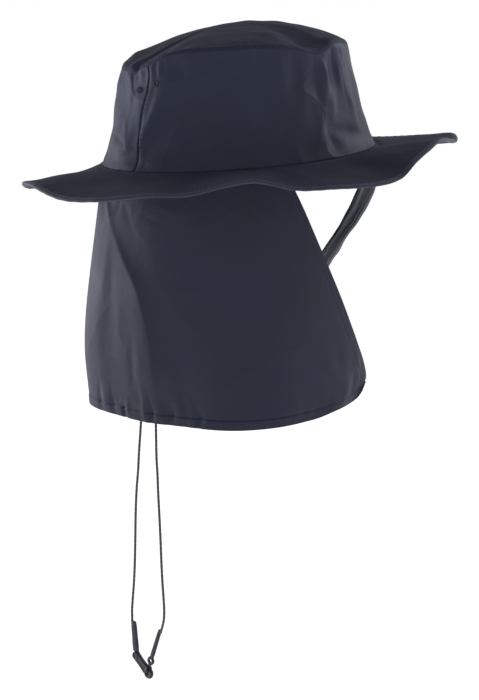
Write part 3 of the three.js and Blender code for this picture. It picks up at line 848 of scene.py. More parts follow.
@dataclass(frozen=True)
class BraidedCord:
    """Braided polyester cord, whose crossing strands catch the light in small diamonds, with painted shade
    between them.

    Attributes:
        name: Name of the material.
        strand: Colour of the strands as sRGB hex.
        hollow: Darker colour between the strands, painted shade in the hollows of the braid.
        pitch: Length of a diamond along the cord.
        round: Distance round the cord, so that the braid closes on itself.
    """

    name: str
    strand: str
    hollow: str
    pitch: float = 1.6 * MM
    round: float = math.pi * 1.8 * MM

    def build(self) -> Material:
        """Builds the material.

        Returns:
            The material.
        """
        material = bpy.data.materials.new(self.name)
        tree = NodeTree.of(material)
        along = tree.add("ShaderNodeTexCoord", out="UV")
        waves = {}
        for k, turn in enumerate((1, -1)):
            scale = (1 / self.pitch, turn * 4 / self.round, 1.0)
            laid = tree.add("ShaderNodeMapping", {"Vector": along, "Scale": scale})
            both = {0: laid, 1: (math.tau, math.tau, 0.0)}
            phase = tree.add("ShaderNodeVectorMath", both, "Value", operation="DOT_PRODUCT")
            waves[k] = tree.add("ShaderNodeMath", {0: phase}, operation="SINE")
        braid = tree.add("ShaderNodeMath", waves, operation="MAXIMUM")
        share = tree.add("ShaderNodeMapRange", {"Value": braid, "From Min": -0.4, "From Max": 0.8})
        # Painted shade: the colour darkens from the strands' crests into the hollows between them.
        tones = {0: share, 6: to_linear(self.hollow), 7: to_linear(self.strand)}
        color = tree.add("ShaderNodeMix", tones, 2, data_type="RGBA")
        relief = tree.add("ShaderNodeBump", {"Height": braid, "Strength": 0.7, "Distance": 0.12 * MM})
        shader = tree.add(
            "ShaderNodeBsdfPrincipled",
            {"Base Color": color, "Roughness": 0.65, "IOR": 1.5, "Sheen Weight": 0.1, "Normal": relief},
        )
        tree.add("ShaderNodeOutputMaterial", {"Surface": shader})
        return material


@dataclass(frozen=True)
class MouldedPlastic:
    """Injection-moulded acetal, black and smooth with a faint moulded grain and handling marks.

    Attributes:
        name: Name of the material.
        face: Colour as sRGB hex.
        grain: Size of the moulded grain.
        mark: Size of the handling marks.
    """

    name: str
    face: str
    grain: float = 0.5 * MM
    mark: float = 4 * MM

    def build(self) -> Material:
        """Builds the material.

        Returns:
            The material.
        """
        material = bpy.data.materials.new(self.name)
        tree = NodeTree.of(material)
        solid = tree.add("ShaderNodeTexCoord", out="Object")
        grain = tree.add("ShaderNodeTexNoise", {"Vector": solid, "Scale": 1 / self.grain, "Detail": 2.0})
        marks = tree.add("ShaderNodeTexNoise", {"Vector": solid, "Scale": 1 / self.mark, "Detail": 3.0})
        span = {"From Min": 0.35, "From Max": 0.7, "To Min": 0.2, "To Max": 0.32}
        rough = tree.add("ShaderNodeMapRange", {"Value": marks, **span})
        relief = tree.add("ShaderNodeBump", {"Height": grain, "Strength": 0.25, "Distance": 0.03 * MM})
        color = to_linear(self.face)
        shader = tree.add(
            "ShaderNodeBsdfPrincipled",
            {"Base Color": color, "Roughness": rough, "IOR": 1.48, "Normal": relief},
        )
        tree.add("ShaderNodeOutputMaterial", {"Surface": shader})
        return material


def finish(kind: type, *colors: str, **values: float) -> Material:
    """Field whose material is built with the finishes."""
    return field(default_factory=kind(*colors, **values).build)


@dataclass(frozen=True)
class Finishes:
    """The materials of the hat, each built once.

    Attributes:
        shell: Cloth of the crown's wall.
        top: Cloth of the tip and the brim, a darker and duller copy of the shell cloth whose darker colour
            is painted shade on their upward faces.
        drape: Cloth of the cape, a darker copy of the shell cloth whose darker colour is painted shade.
        binding: Cloth of the brim's edge.
        strap: Cloth of the chin strap.
        thread: Thread of the stitches.
        embroidery: Thread of the eyelets, a paler copy of the stitching thread whose paler colour is
            painted light on the rings.
        cord: Cord of the leash.
        bound: Doubled and bound ends of the cord.
        plastic: Plastic of the clip.
    """

    shell: Material = finish(
        WovenCloth, "woven nylon, charcoal navy", "282c3c", "2e3345", crease=1.3 * MM, shine=0.17
    )
    # Painted shade: the tip and the brim take a darker copy of the shell cloth, so their upward faces come
    # out darker.
    top: Material = finish(
        WovenCloth,
        "woven nylon, charcoal navy, weathered",
        "1e2234",
        "24283c",
        roughness=0.75,
        sheen=0.0,
        crease=0.5 * MM,
    )
    # Painted shade: the cape takes a darker copy of the shell cloth, with smoother relief.
    drape: Material = finish(
        WovenCloth,
        "woven nylon, charcoal navy, hung smooth",
        "1c2031",
        "22263a",
        crinkle=0.3 * MM,
        crease=0.3 * MM,
        shine=0.23,
    )
    binding: Material = finish(
        WovenCloth, "folded nylon binding", "262a3b", "303547", roughness=0.55, crinkle=0.3 * MM
    )
    strap: Material = finish(
        WovenCloth, "folded nylon strap", "151824", "262a38", roughness=0.36, pleat=2.6 * MM
    )
    thread: Material = finish(SpunThread, "spun polyester thread", "1f2231")
    # Painted light: the eyelets' thread is a paler copy of the stitching thread, so the small rings read
    # lighter than their shading leaves them.
    embroidery: Material = finish(SpunThread, "embroidered polyester thread", "343848")
    cord: Material = finish(BraidedCord, "braided polyester cord", "45454b", "242429")
    bound: Material = finish(BraidedCord, "braided cord, bound with thread", "2b2b36", "17171f")
    plastic: Material = finish(MouldedPlastic, "moulded acetal, black", "17181c")


# Stitches


@dataclass
class Stitcher:
    """Lays rows of stitches along paths with one node tree.

    Attributes:
        material: Material of the thread.
        spacing: Distance from one stitch to the next.
        length: Length of a stitch.
        width: Width of the thread.
        uneven: Least and greatest length of a stitch, as shares of the usual one.
        tree: The node tree.
    """

    material: Material
    spacing: float = 2.8 * MM
    length: float = 2.1 * MM
    width: float = 0.42 * MM
    uneven: tuple[float, float] = (0.88, 1.1)
    tree: bpy.types.NodeTree = field(init=False)

    def __post_init__(self) -> None:
        """Builds the tree: points along each edge path, a stitch on each, turned along the path."""
        self.tree = bpy.data.node_groups.new("stitch_row", "GeometryNodeTree")
        for name, way, kind in (
            ("Path", "INPUT", "Geometry"),
            ("Spacing", "INPUT", "Float"),
            ("Stitch Length", "INPUT", "Float"),
            ("Thread Width", "INPUT", "Float"),
            ("Thread", "INPUT", "Material"),
            ("Stitches", "OUTPUT", "Geometry"),
        ):
            self.tree.interface.new_socket(name=name, in_out=way, socket_type="NodeSocket" + kind)
        tree = NodeTree(self.tree)
        given = tree.add("NodeGroupInput").node.outputs
        curve = tree.add("GeometryNodeMeshToCurve", {"Mesh": given["Path"]})
        spacing = {"Curve": curve, "Length": given["Spacing"]}
        spots = tree.add("GeometryNodeCurveToPoints", spacing, mode="LENGTH")
        along = spots.node.outputs["Tangent"]
        turned = tree.add("FunctionNodeAlignRotationToVector", {"Vector": along}, axis="Z")
        share = {2: self.uneven[0], 3: self.uneven[1], "Seed": 7}
        uneven = tree.add("FunctionNodeRandomValue", share, 1, data_type="FLOAT")
        long = tree.add("ShaderNodeMath", {0: given["Stitch Length"], 1: uneven}, operation="MULTIPLY")
        width = given["Thread Width"]
        size = tree.add("ShaderNodeCombineXYZ", {0: width, 1: width, 2: long})
        stitch = tree.add("GeometryNodeMeshUVSphere", {"Segments": 6, "Rings": 5, "Radius": 0.5})
        laid = tree.add(
            "GeometryNodeInstanceOnPoints",
            {"Points": spots, "Instance": stitch, "Rotation": turned, "Scale": size},
        )
        real = tree.add("GeometryNodeRealizeInstances", {"Geometry": laid})
        soft = tree.add("GeometryNodeSetShadeSmooth", {0: real})
        sewn = tree.add("GeometryNodeSetMaterial", {"Geometry": soft, "Material": given["Thread"]})
        tree.add("NodeGroupOutput", {0: sewn})

    def rows(
        self, name: str, paths: Sequence[tuple[np.ndarray, bool]], width: float = 0.0
    ) -> bpy.types.Object:
        """Sews rows of stitches and makes them one piece.

        Args:
            name: Name of the piece.
            paths: Each row's points, and whether it closes on itself.
            width: Width of the thread, where it isn't the usual one.

        Returns:
            The piece.
        """
        verts: list[list[float]] = []
        edges: list[tuple[int, int]] = []
        for points, closed in paths:
            first = len(verts)
            verts += points.tolist()
            edges += [(k, k + 1) for k in range(first, len(verts) - 1)]
            if closed:
                edges.append((len(verts) - 1, first))
        lines = bpy.data.meshes.new(name + "_path")
        lines.from_pydata(verts, edges, [])
        carrier = placed(name + "_path", lines)
        sewing = carrier.modifiers.new("sewing", "NODES")
        sewing.node_group = self.tree
        values = {
            "Spacing": self.spacing,
            "Stitch Length": self.length,
            "Thread Width": width or self.width,
            "Thread": self.material,
        }
        for item in self.tree.interface.items_tree:
            if item.name in values:
                sewing[item.identifier] = values[item.name]
        mesh = plain_mesh(carrier, name)
        bpy.data.objects.remove(carrier)
        bpy.data.meshes.remove(lines)
        return dress(mesh, self.material, Slot.THREAD)


def plain_mesh(carrier: bpy.types.Object, name: str) -> bpy.types.Mesh:
    """Takes the mesh of an object as its modifiers leave it, and removes the modifiers.

    Args:
        carrier: The object.
        name: Name of the mesh.

    Returns:
        The plain mesh.
    """
    graph = bpy.context.evaluated_depsgraph_get()
    graph.update()
    mesh = bpy.data.meshes.new_from_object(carrier.evaluated_get(graph))
    mesh.name = name
    carrier.modifiers.clear()
    return mesh


# Crown


@dataclass
class Crown:
    """The crown: its tapered wall with the back seam, its domed tip, and the two eyelets.

    Attributes:
        sizes: Shared sizes.
        tip_rise: Height of the dome above its seam.
        tip_lean: How far the dome's top sits towards the front.
        dome_fullness: Power that shapes the dome.
        profile: Up along the wall, and the share of the taper that is left.
        seam: Angle, and height of the tip seam as a share of the wall's height.
        folds: Angle, height, width, tallness, lean and depth of each fold of the wall.
        fine_folds: The same for folds too fine for the solid.
        dents: Angle, reach, width, depth and sink of each dent of the tip.
        eyelet_angle: Degrees from the centre back to each eyelet.
        eyelet_up: Height of the eyelets as a share of the wall's height.
        eyelet_hole: Radius of each eyelet's hole.
        eyelet_ring: Radius of its embroidered ring.
        cut: Radius of the cut under the ring, which covers its edge.
        pucker_places: Angle, width and depth in millimetres of each puckered stretch of the tip seam.
        wrinkles: Soft relief of the cloth.
        seam_reach: Degrees each side of the back seam with closer columns.
        topstitch: Degrees from the back seam to its row of stitches.
    """

    sizes: HatSizes
    tip_rise: float = 16 * MM
    tip_lean: float = 5 * MM
    dome_fullness: float = 0.86
    profile: Rows = ((0, 1), (0.12, 0.8), (0.25, 0.65), (0.4, 0.46), (0.6, 0.3), (0.8, 0.12), (1, 0))
    seam: Rows = (
        (0, 0.98), (50, 0.96), (95, 0.95), (130, 0.9), (158, 0.88), (165, 0.885), (169, 0.845),
        (173, 0.895), (183, 0.95), (195, 1.03), (220, 1.05), (247, 1.04), (260, 1.0), (269, 0.95),
        (277, 0.97), (286, 1.03), (310, 0.99),
    )
    folds: Rows = (
        (273, 0.82, 4, 0.2, 0, 0.028), (282, 0.8, 5, 0.2, 0.2, -0.028), (263, 0.22, 6, 0.2, 0.6, 0.026),
        (284, 0.18, 8, 0.12, -1.3, -0.02), (300, 0.5, 12, 0.4, 0, 0.012),
        (185, 0.45, 4, 0.25, 1.1, 0.026), (197, 0.6, 7, 0.35, 0.3, -0.022), (168, 0.3, 8, 0.3, 0.4, 0.02),
        (162, 0.62, 7, 0.2, -0.3, -0.016), (145, 0.68, 12, 0.3, 0, 0.02), (199, 0.9, 4, 0.08, 0, -0.03),
        (100, 0.4, 12, 0.35, 0.2, -0.018), (62, 0.6, 10, 0.35, -0.2, 0.02),
        (28, 0.35, 12, 0.3, 0.3, -0.02),
    )
    fine_folds: Rows = (
        (185, 0.46, 3.0, 0.16, 1.6, 0.008), (190, 0.34, 2.0, 0.14, 0.9, -0.012),
        (194, 0.6, 3.0, 0.16, 0.5, 0.008), (274, 0.84, 1.5, 0.12, 0, 0.014),
        (278, 0.78, 1.6, 0.14, 0.3, -0.016), (286, 0.74, 2.2, 0.16, 0.5, 0.014),
        (268, 0.56, 2.2, 0.16, -0.4, -0.01), (291, 0.5, 2.4, 0.18, 0.5, 0.012),
        (276, 0.5, 2.0, 0.12, 0.8, 0.01), (263, 0.2, 1.8, 0.14, 1.4, 0.014),
        (270, 0.16, 2.4, 0.1, -0.6, -0.012), (297, 0.3, 3.0, 0.14, 0.4, -0.012),
        (250, 0.12, 4.0, 0.1, 0.6, 0.008), (142, 0.9, 15, 0.12, 0, 0.016),
        (173, 0.55, 3.0, 0.14, -0.6, -0.008), (166, 0.74, 3.5, 0.07, 0.3, 0.01),
        (169, 0.76, 2.5, 0.05, 0.8, -0.012), (158, 0.4, 3, 0.2, 0.5, 0.012),
        (170, 0.18, 3, 0.06, 1.9, 0.012), (163, 0.3, 4, 0.05, -1.5, -0.009),
        (186, 0.94, 1.6, 0.04, 0.3, 0.01), (191, 0.9, 1.8, 0.06, -0.3, -0.014),
        (197, 0.92, 2.0, 0.05, 0.4, 0.01), (204, 0.86, 2, 0.07, 0.2, 0.01),
        (210, 0.92, 2.4, 0.05, 0, -0.012), (218, 0.94, 2, 0.04, 0, 0.008),
    )
    dents: Rows = (
        (273, 0.84, 13, 0.12, 0.17), (293, 0.86, 9, 0.1, 0.14), (252, 0.7, 10, 0.14, -0.06),
        (196, 0.88, 8, 0.1, 0.1), (150, 0.8, 14, 0.14, 0.08), (40, 0.7, 18, 0.2, 0.07),
        (139, 0.9, 18, 0.14, -0.17),
    )
    eyelet_angle: float = 6.5
    eyelet_up: float = 0.8
    eyelet_hole: float = 0.85 * MM
    eyelet_ring: float = 2.3 * MM
    cut: float = 1.0625 * MM
    pucker_places: Rows = (
        (190, 13, 0.5), (286, 12, 0.7), (160, 12, 0.5), (235, 14, 0.25), (30, 40, 0.3), (110, 40, 0.3),
    )
    wrinkles: Crinkle = Crinkle(11, 14 * MM, 46 * MM, 0.28 * MM, stretch=1.8)
    seam_reach: float = 12
    topstitch: float = 1.7

    def seam_height(self, angle: np.ndarray) -> np.ndarray:
        """Height of the tip seam."""
        return self.sizes.wall_height * smooth(self.seam, angle, period=360)

    def wall_point(self, angle: Value, up: Value) -> np.ndarray:
        """Finds the outer face of the wall with its folds, before the tilt.

        Args:
            angle: Degrees round the crown.
            up: Shares of the way up the wall.

        Returns:
            The points.
        """
        s = self.sizes
        angle, up = np.broadcast_arrays(np.asarray(angle, float), np.asarray(up, float))
        spread = smooth(self.profile, up)
        length, width = lerp(s.tip_length, s.base_length, spread), lerp(s.tip_width, s.base_width, spread)
        point = oval(length, width, angle, lerp(s.gap, self.seam_height(angle), up))
        out = np.zeros(angle.shape)
        for at, high, wide, tall, lean, depth in (*self.folds, *self.fine_folds):
            across = turn_between(angle, at) / wide - lean * (up - high) / tall
            out += depth * bump(across) * bump((up - high) / tall)
        out *= s.wall_height * np.minimum(1, np.minimum(6 * up, 6 * (1 - up)))
        return point + level_way(point) * out[..., None]

    def tip_point(self, angle: np.ndarray, reach: np.ndarray) -> np.ndarray:
        """Finds the outer face of the tip with its dents, before the tilt.

        Args:
            angle: Degrees round the crown.
            reach: Shares of the way from the middle to the seam.

        Returns:
            The points.
        """
        s = self.sizes
        point = oval(s.tip_length * reach, s.tip_width * reach, angle, np.zeros(angle.shape))
        inside = np.clip(1 - reach * reach, 0, 1)
        dome = self.tip_rise * inside**self.dome_fullness
        lean = self.tip_lean * reach * np.cos(np.radians(angle)) * inside
        sink = np.zeros(angle.shape)
        for at, far, wide, deep, depth in self.dents:
            sink += depth * bump(turn_between(angle, at) / wide) * bump((reach - far) / deep)
        free = np.minimum(1, 8 * (1 - reach))
        seam = lerp(s.wall_height, self.seam_height(angle), reach * reach)
        point[..., 2] = seam + s.gap + s.cloth + dome + lean - sink * self.tip_rise * free
        return point

    def puckers(self, angle: np.ndarray) -> np.ndarray:
        """Finds the puckers along the tip seam, where the gathered seam allowance lifts the cloth.

        Args:
            angle: Degrees round the crown.

        Returns:
            Their height.
        """
        a = np.radians(angle)
        fine = uneven_wave(a, 74, 2.2, 9) * (0.55 + 0.45 * np.sin(5 * a))
        broad = 0.7 * uneven_wave(a, 43, 2.6, 17) + 0.6 * uneven_wave(a, 29, 2.0, 23)
        total = 0.16 * MM * fine
        for at, wide, depth in self.pucker_places:
            total = total + depth * MM * broad * bump(turn_between(np.asarray(angle, float), at) / wide)
        return total

    def columns(self) -> np.ndarray:
        """Spaces the wall's columns, close together at the back seam.

        Returns:
            Their angles in degrees.
        """
        near = 180 + np.linspace(-1, 1, 41) ** 3 * self.seam_reach
        rest = np.linspace(180 + self.seam_reach, 540 - self.seam_reach, 400)[1:-1]
        return np.mod(np.concatenate([near, rest]), 360)

    def back_seam(self, arc: np.ndarray) -> np.ndarray:
        """Relief at a distance from the back seam: a thin groove, with a felled edge beside it."""
        groove = -1.5 * MM * bump(arc / (1.0 * MM))
        return groove + 0.5 * MM * within(arc, 0.2 * MM, 1.6 * MM, 5 * MM, 9 * MM)

    def wall_face(self, angle: np.ndarray, up: np.ndarray) -> np.ndarray:
        """Finds the finished outer face of the wall.

        Args:
            angle: Degrees round the crown.
            up: Shares of the way up the wall.

        Returns:
            The points.
        """
        s = self.sizes
        base = self.wall_point(angle, up)
        drift = np.sin(np.asarray(up) * 8 + 0.7)
        arc = np.radians(turn_between(angle, 180 + drift)) * s.base_length / 2
        relief = self.back_seam(arc) + self.wrinkles.at(base) * within(up, 0, 0.06, 0.93, 1.0)
        # The puckers run down to uneven lengths.
        grown = ease(up + 0.05 * np.sin(np.radians(angle) * 37), 0.84, 0.95)
        relief = relief + self.puckers(angle) * grown * (1 - ease(up, 0.96, 1.0))
        return s.tilted(base + level_way(base) * relief[..., None])

    def build_wall(self, finishes: Finishes) -> bpy.types.Object:
        """Builds the wall with its seam, folds and eyelet holes.

        Args:
            finishes: Materials.

        Returns:
            The piece.
        """
        angle, up = np.meshgrid(self.columns(), graded(1, (0.9, 14), (0.08, 46), (0, 8)))
        points = self.wall_face(angle, up)
        wall = ClothWall(points, grid_normals(points, True, level=True), self.sizes.cloth, wrap=True)
        mesh = self._pierced(wall.mesh("crown_wall_cloth"))
        return dress(mesh, finishes.shell, Slot.SHELL, "crown_wall")

    def eyelet_seat(self, side: Side) -> tuple[np.ndarray, np.ndarray]:
        """Finds where an eyelet sits.

        Args:
            side: Side of the eyelet.

        Returns:
            Its place and its outward direction.
        """
        angle, up = 180 - side.value * self.eyelet_angle, self.eyelet_up
        across = self.wall_point(angle + 2.0, up) - self.wall_point(angle - 2.0, up)
        rise = self.wall_point(angle, up + 0.03) - self.wall_point(angle, up - 0.03)
        tilted = self.sizes.tilted
        return tilted(self.wall_point(angle, up)), tilted(unit(np.cross(across, rise)))

    def _pierced(self, mesh: bpy.types.Mesh) -> bpy.types.Mesh:
        """Cuts the eyelets' holes through the wall.

        Args:
            mesh: The wall, which is removed.

        Returns:
            The pierced wall.
        """
        name = mesh.name
        body = placed("wall_work", mesh)
        tools = []
        for side in Side:
            place, away = self.eyelet_seat(side)
            work = bmesh.new()
            bmesh.ops.create_cone(
                work,
                cap_ends=True,
                segments=24,
                radius1=self.cut,
                radius2=self.cut,
                depth=12 * MM,
                matrix=Matrix.Translation(Vector(place)) @ facing(away).to_4x4(),
            )
            tools.append(placed("hole", mesh_of(work, "hole")))
            hole = body.modifiers.new("hole", "BOOLEAN")
            hole.operation = "DIFFERENCE"
            hole.solver = "EXACT"
            hole.object = tools[-1]
        out = plain_mesh(body, name)
        for thing in (body, *tools):
            bpy.data.objects.remove(thing)
        bpy.data.meshes.remove(mesh)
        out.name = name
        finish_mesh(out, recalculate=False)
        return out

    def build_tip(self, finishes: Finishes) -> bpy.types.Object:
        """Builds the domed tip, whose rim puckers where it is sewn.

        Args:
            finishes: Materials.

        Returns:
            The piece.
        """
        s = self.sizes
        reaches = np.concatenate([[0, 0.02], graded(0.06, (0.9, 34), (1, 12))])
        angle, reach = np.meshgrid(once_round(300, 360), reaches)
        base = self.tip_point(angle, reach)
        relief = self.wrinkles.at(base * 0.9 + 1.0) * (1 - ease(reach, 0.9, 1.0))
        relief += self.puckers(angle + 2) * within(reach, 0.82, 0.94, 0.97, 1.0)
        # A narrow ridge stands where the seam allowance lies under the cloth, then drops to the seam.
        relief += 0.25 * MM * within(reach, 0.95, 0.965, 0.985, 1.0)
        # The rim rolls over and comes down to meet the wall.
        base[..., 2] += relief - 1.3 * MM * ease(reach, 0.985, 1.0)
        points = s.tilted(base)
        points[0] = points[0].mean(axis=0)
        wall = ClothWall(points, grid_normals(points, True, pole=True), s.cloth, wrap=True, pole=True)
        return dress(wall.mesh("crown_tip_cloth"), finishes.top, Slot.SHELL, "crown_tip")

    def build_eyelets(self, finishes: Finishes) -> None:
        """Builds the embroidered ring round each hole, on both faces of the wall.

        Args:
            finishes: Materials.
        """
        round_, shell = once_round(132)[:, None], once_round(20)
        half = (self.eyelet_ring - self.eyelet_hole) / 2
        radius = self.eyelet_hole + half * (1 + blunt(np.cos(shell), 0.8))
        # The thread's turns show as ridges all round the ring.
        thick = (self.sizes.cloth / 2 + 0.75 * MM) * (1 + 0.1 * np.sin(round_ * 33))
        high = blunt(np.sin(shell), 0.7) * thick - self.sizes.cloth / 2
        local = np.stack([radius * np.cos(round_), radius * np.sin(round_), high], axis=-1)
        for side in Side:
            place, away = self.eyelet_seat(side)
            name = side.name.lower()
            mesh = loft(f"eyelet_ring_{name}", local @ np.array(facing(away)).T + place, True)
            dress(mesh, finishes.embroidery, Slot.THREAD, f"eyelet_{name}")

    def sew(self, stitcher: Stitcher) -> bpy.types.Object:
        """Sews the topstitch beside the back seam.

        Args:
            stitcher: What sews it.

        Returns:
            The piece.
        """
        ups = np.linspace(0.02, 0.965, 120)
        line = self.wall_face(np.full(ups.shape, 180 + self.topstitch), ups)
        return stitcher.rows("crown_stitches", [(line, False)], width=0.3 * MM)


# Brim


@dataclass
class Brim:
    """The wavy brim, its stitched binding and its rows of stitches.

    Attributes:
        sizes: Shared sizes.
        width: Width from the crown to the edge.
        bend: Power of the brim's turn next to the crown.
        seam: Level strip next to the crown.
        shift: How much longer the brim is in front.
        binding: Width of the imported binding.
        wave: Angle, and rise of the edge as a share of the width.
        wrinkles: Soft relief of the cloth.
        strip: Out from the edge, and height as a share of half the cloth's thickness, over half of the
            binding's section from its inner end to the edge.
        crest: Height above which the strip counts as its crest.
        stitch_in: How far the stitches lie from the binding's inner end.
    """

    sizes: HatSizes
    width: float = 56 * MM
    bend: float = 0.65
    seam: float = 2.2 * MM
    shift: float = 1.4 * MM
    binding: float = 2.6 * MM
    wave: Rows = (
        (0, -0.12), (24, -0.13), (45, -0.03), (62, 0.0), (78, -0.18), (92, -0.32), (112, -0.34),
        (129, -0.285), (148, -0.115), (160, -0.085), (176, -0.175), (188, -0.165), (203, -0.108),
        (213, -0.105), (222, -0.025), (229, 0), (238, -0.115), (248, -0.15), (260, -0.185), (268, -0.15),
        (274, 0), (280, 0.095), (287, 0.165), (303, 0.06), (319, 0.06), (338, -0.035),
    )
    wrinkles: Crinkle = Crinkle(23, 22 * MM, 60 * MM, 0.22 * MM)
    strip: Rows = (
        (-3.8 * MM, 0.9),
        (-3.6 * MM, 1.14),
        (-2.9 * MM, 1.06),
        (-2.2 * MM, 1.2),
        (-0.9 * MM, 1.1),
        (-0.3 * MM, 0.75),
    )
    crest: float = 1.15
    stitch_in: float = 1.0 * MM

    def face(self, angle: Value, away: Value) -> np.ndarray:
        """Finds the upper face of the brim, before the tilt.

        Args:
            angle: Degrees round the crown.
            away: Distances from the crown's base line.

        Returns:
            The points.
        """
        s = self.sizes
        angle, away = np.broadcast_arrays(np.asarray(angle, float), np.asarray(away, float))
        share = np.maximum(0, away - self.seam) / (self.width - self.seam)
        rise = self.width * smooth(self.wave, angle, period=360) * share**self.bend
        point = oval(s.base_length + 2 * away, s.base_width + 2 * away, angle, rise)
        point[..., 0] += self.shift * np.maximum(0, away) / self.width
        point[..., 2] += self.wrinkles.at(point) * within(away, 2 * MM, 14 * MM, 44 * MM, 52 * MM)
        # The seam to the crown pulls the cloth down into a small gully just outside it.
        point[..., 2] -= 0.9 * MM * bump((away - 2.8 * MM) / (1.3 * MM))
        # The binding's seam draws the cloth in a little just inside the edge.
        a = np.radians(angle)
        tuck = uneven_wave(a, 96, 3, 7) * (0.5 + 0.5 * np.sin(a * 6 + 2))
        point[..., 2] += 0.1 * MM * tuck * ease(away, 42 * MM, 50 * MM)
        return point

    def build_cloth(self, finishes: Finishes) -> bpy.types.Object:
        """Builds the two-layer cloth of the brim.

        Args:
            finishes: Materials.

        Returns:
            The piece.
        """
        s = self.sizes
        aways = graded(-s.cloth, (5 * MM, 10), (self.width - self.binding, 42))
        angle, away = np.meshgrid(once_round(440, 360), aways)
        points = s.tilted(self.face(angle, away))
        wall = ClothWall(points, grid_normals(points, True), s.brim_cloth, wrap=True)
        return dress(wall.mesh("brim_cloth"), finishes.top, Slot.SHELL, "brim")

    def edge_up(self, angle: np.ndarray) -> np.ndarray:
        """Finds the way up from the cloth at the brim's edge.

        Args:
            angle: Degrees round the crown.

        Returns:
            A direction for each angle.
        """
        outward = unit(self.face(angle, self.width) - self.face(angle, self.width - self.binding))
        return unit(np.array([0.0, 0.0, 1.0]) - outward * outward[:, 2:3])

    def edge_line(self, angle: np.ndarray, out: float, high: Value) -> np.ndarray:
        """Finds a line round the brim near its edge, before the tilt.

        Args:
            angle: Degrees round the crown.
            out: Distance out from the edge.
            high: Height over the middle of the cloth, as shares of half its thickness.

        Returns:
            The points.
        """
        half = self.sizes.brim_cloth / 2
        over = half * (np.broadcast_to(high, angle.shape) - 1)
        return self.face(angle, self.width + out) + self.edge_up(angle) * over[:, None]

    def build_binding(self, finishes: Finishes) -> bpy.types.Object:
        """Builds the binding: a strip folded over the edge, a little slack between its stitches.

        Args:
            finishes: Materials.

        Returns:
            The piece.
        """
        angle = once_round(880, 360)
        a = np.radians(angle)
        slack = 1 + 0.07 * np.sin(a * 163) + 0.05 * np.sin(a * 41)
        under = [(out, -high) for out, high in reversed(self.strip)]
        section = [*self.strip, (0.0, 0.0), *under]
        # Only the crest of the strip is slack.
        rings = [self.edge_line(angle, o, h * slack if abs(h) > self.crest else h) for o, h in section]
        mesh = loft("brim_edge_binding", self.sizes.tilted(np.stack(rings, axis=1)), True)
        return dress(mesh, finishes.binding, Slot.BINDING, "brim_binding")

    def sew(self, stitcher: Stitcher) -> bpy.types.Object:
        """Sews the binding's stitches on both faces.

        Args:
            stitcher: What sews them.

        Returns:
            The piece.
        """
        angle = once_round(900, 360)
        out = self.strip[0][0] + self.stitch_in
        lines = [self.edge_line(angle, out, high) for high in (1.1, -1.1)]
        return stitcher.rows("brim_stitches", [(self.sizes.tilted(line), True) for line in lines])


# Neck cape


